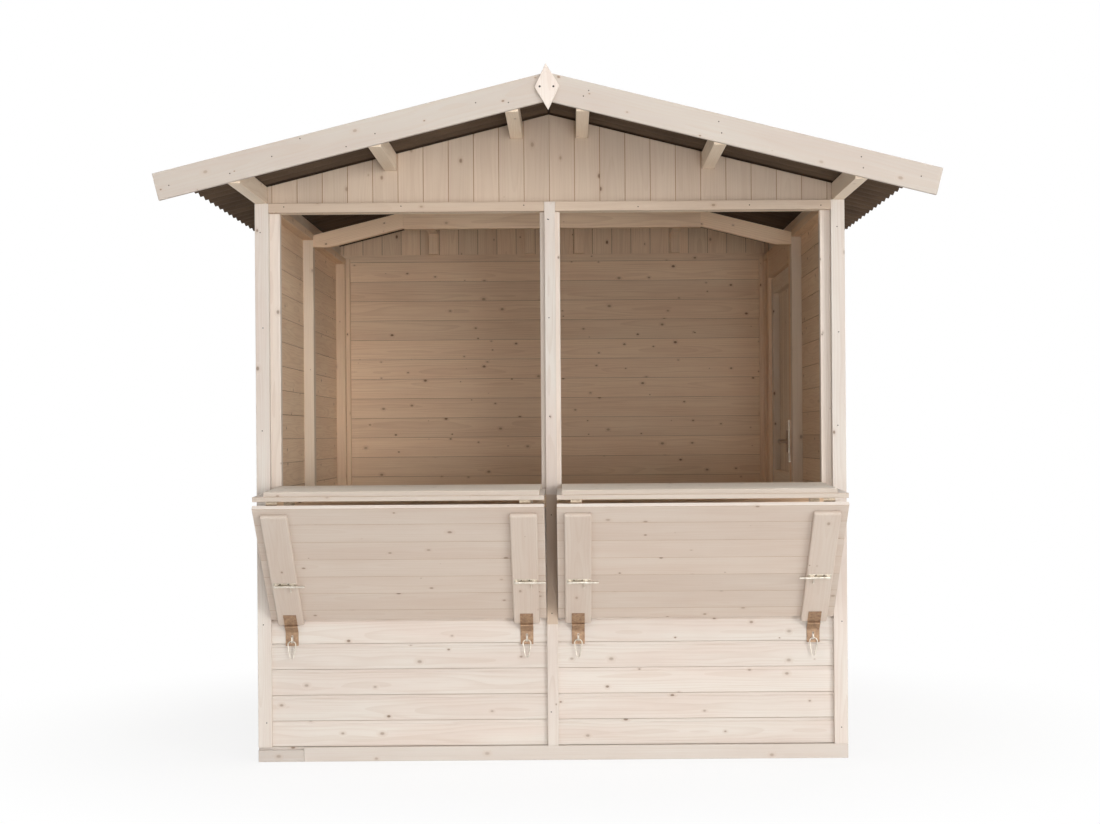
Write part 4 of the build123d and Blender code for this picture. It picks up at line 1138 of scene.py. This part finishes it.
# barge boards: how far out from the ridge, and how far under the top edge
bargeNails = {"left": ((0.124, 0.066), (0.229, 0.040), (0.553, 0.056), (0.646, 0.074),
                       (0.794, 0.010), (0.885, 0.044), (1.020, 0.064), (1.216, 0.052)),
              "right": ((0.117, 0.049), (0.134, 0.027), (0.551, 0.026), (0.560, 0.060),
                        (1.008, 0.028), (1.014, 0.062), (1.200, 0.044))}
lowBarge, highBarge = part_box("barge_boards")
for side, marks in ((-1, bargeNails["left"]), (1, bargeNails["right"])):
    for out, drop in marks:
        level = highBarge.z - math.tan(pitch) * out - drop
        driveNail((side * out, lowBarge.y, level), (0, -1, 0))
        driveNail((side * out, highBarge.y, level), (0, 1, 0))
for x in (-0.023, 0.021):
    for y, way in ((lowFinial.y + finialInset, -1), (highFinial.y - finialInset, 1)):
        driveNail((x, y, (lowFinial.z + highFinial.z) / 2), (0, way, 0), nails["screwRadius"])

# strips and trims: one nail about every 0.35 m, none of them quite in line
trimNails = {"first": 0.13, "apart": 0.345, "count": 6, "inset": 0.024, "sideInset": 0.04,
             "sway": 0.006, "drift": 0.03, "stripX": -0.004, "stripSway": 0.004,
             "stripRise": 0.038, "stripTop": 0.03,
             "headerPlaces": (-0.93, -0.52, -0.09, 0.31, 0.70, 0.95)}
trimFace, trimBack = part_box("corner_trims")[0].y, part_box("corner_trims")[1].y
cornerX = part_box("corner_trims")[1].x - trimNails["inset"]
drift, stripSway = trimNails["drift"], trimNails["stripSway"]
for index in range(trimNails["count"]):
    level = trimNails["first"] + index * trimNails["apart"]
    for side in (-1, 1):
        sway = draw.uniform(-trimNails["sway"], trimNails["sway"])
        driveNail((side * cornerX + sway, trimFace, level + draw.uniform(-drift, drift)),
                  (0, -1, 0))
        driveNail((side * cornerX - sway, trimBack, level + draw.uniform(-drift, drift)),
                  (0, 1, 0))
        for y in (trimFace + trimNails["sideInset"], trimBack - trimNails["sideInset"]):
            driveNail((side * (cornerX + trimNails["inset"]), y,
                       level + draw.uniform(-drift, drift)), (side, 0, 0))
    driveNail((trimNails["stripX"] + draw.uniform(-stripSway, stripSway), trimFace,
               level + trimNails["stripRise"]), (0, -1, 0))
driveNail((trimNails["stripX"], trimFace, highStrip.z - trimNails["stripTop"]), (0, -1, 0))
for x in trimNails["headerPlaces"]:
    sway = draw.uniform(-stripSway, stripSway)
    driveNail((x, trimFace, (lowHeader.z + highHeader.z) / 2 + sway), (0, -1, 0))
finishPiece(nailHeads, "claddingNails", "hut", [], [blackSteel])
print("nails driven")

# camera, light and floor
view = {"eye": (0.066, -7.925, 1.137), "lens": 65.45, "sensor": 36.0,
        "shift": (-0.018181818, 0.020909091), "roll": 0.42}
cameraData = bpy.data.cameras.new("camera")
cameraData.lens = view["lens"]
cameraData.sensor_width = view["sensor"]
cameraData.shift_x, cameraData.shift_y = view["shift"]
camera = bpy.data.objects.new("camera", cameraData)
camera.matrix_world = (Matrix.Translation(view["eye"]) @ Matrix.Rotation(math.radians(90), 4, "X")
                       @ Matrix.Rotation(math.radians(-view["roll"]), 4, "Z"))
bpy.context.scene.collection.objects.link(camera)
bpy.context.scene.camera = camera

studio = {"sky": "ffffff", "skyStrength": 0.27,
          "lamps": [{"name": "keyLamp", "way": (38, 5), "far": 16.0, "size": 6.0, "power": 950.0},
                    {"name": "frontLamp", "way": (10, 9), "far": 16.0, "size": 7.0,
                     "power": 250.0},
                    {"name": "lowLamp", "way": (5, -3), "far": 12.0, "size": 1.8,
                     "power": 240.0},
                    {"name": "highLamp", "way": (5, 62), "far": 16.0, "size": 8.0,
                     "power": 900.0},
                    {"name": "leftLamp", "way": (-38, 10), "far": 16.0, "size": 7.0,
                     "power": 170.0},
                    {"name": "backLamp", "way": (168, 20), "far": 10.0, "size": 5.0,
                     "power": 330.0}]}
world = bpy.data.worlds.new("studio")
world.use_nodes = True
world.node_tree.nodes.clear()
rays = addNode(world.node_tree, "ShaderNodeLightPath")
skyLight = addNode(world.node_tree, "ShaderNodeBackground",
                   {"Color": toLinear(studio["sky"]), "Strength": studio["skyStrength"]})
whiteSky = addNode(world.node_tree, "ShaderNodeBackground",
                   {"Color": (1, 1, 1, 1), "Strength": 1.0})
mixedSky = addNode(world.node_tree, "ShaderNodeMixShader", {},
                   {0: rays.outputs["Is Camera Ray"], 1: skyLight.outputs[0],
                    2: whiteSky.outputs[0]})
addNode(world.node_tree, "ShaderNodeOutputWorld", {}, {"Surface": mixedSky.outputs[0]})
bpy.context.scene.world = world
for lamp in studio["lamps"]:
    light = bpy.data.lights.new(lamp["name"], "AREA")
    light.shape = "DISK"
    light.size = lamp["size"]
    light.energy = lamp["power"]
    # `way` is degrees round from the front towards the right, and up
    azimuth, elevation = (math.radians(angle) for angle in lamp["way"])
    way = Vector((math.sin(azimuth) * math.cos(elevation), -math.cos(azimuth) * math.cos(elevation),
                  math.sin(elevation)))
    holder = bpy.data.objects.new(lamp["name"], light)
    holder.matrix_world = (Matrix.Translation(Vector((0, 0, 1.1)) + way * lamp["far"])
                           @ way.to_track_quat("Z", "Y").to_matrix().to_4x4())
    bpy.context.scene.collection.objects.link(holder)

# the floor is white to the eye far from the hut, and keeps the shadow close to it
paleFloor, tree = newMaterial("paleFloor")
rays = addNode(tree, "ShaderNodeLightPath")
seen = addNode(tree, "ShaderNodeMath", {"operation": "MAXIMUM"},
               {0: rays.outputs["Is Camera Ray"], 1: rays.outputs["Is Glossy Ray"]})
seenToo = addNode(tree, "ShaderNodeMath", {"operation": "MAXIMUM"},
                  {0: seen.outputs[0], 1: rays.outputs["Is Transmission Ray"]})
flat = addNode(tree, "ShaderNodeMapping", {"Scale": (1, 1, 0)},
               {"Vector": addNode(tree, "ShaderNodeTexCoord").outputs["Object"]})
away = addNode(tree, "ShaderNodeVectorMath", {"operation": "LENGTH"}, {0: flat.outputs[0]})
fade = addNode(tree, "ShaderNodeMapRange",
               {"From Min": 1.3, "From Max": 2.6, "To Min": 0.85, "To Max": 1.0,
                "interpolation_type": "SMOOTHSTEP"}, {"Value": away.outputs["Value"]})
share = addNode(tree, "ShaderNodeMath", {"operation": "MULTIPLY"},
                {0: seenToo.outputs[0], 1: fade.outputs["Result"]})
floorShader = addNode(tree, "ShaderNodeBsdfDiffuse", {"Color": toLinear("f6f5f3")})
white = addNode(tree, "ShaderNodeEmission", {"Color": (1, 1, 1, 1), "Strength": 1.0})
floorMix = addNode(tree, "ShaderNodeMixShader", {},
                   {0: share.outputs[0], 1: floorShader.outputs[0], 2: white.outputs[0]})
addNode(tree, "ShaderNodeOutputMaterial", {}, {"Surface": floorMix.outputs[0]})
bm = bmesh.new()
bmesh.ops.create_circle(bm, cap_ends=True, segments=64, radius=40.0)
floorMesh = bpy.data.meshes.new("floor")
bm.to_mesh(floorMesh)
bm.free()
floorMesh.materials.append(paleFloor)
floor = bpy.data.objects.new("floor", floorMesh)
bpy.context.scene.collection.objects.link(floor)
bpy.context.scene.view_settings.view_transform = "Standard"
print("studio set")
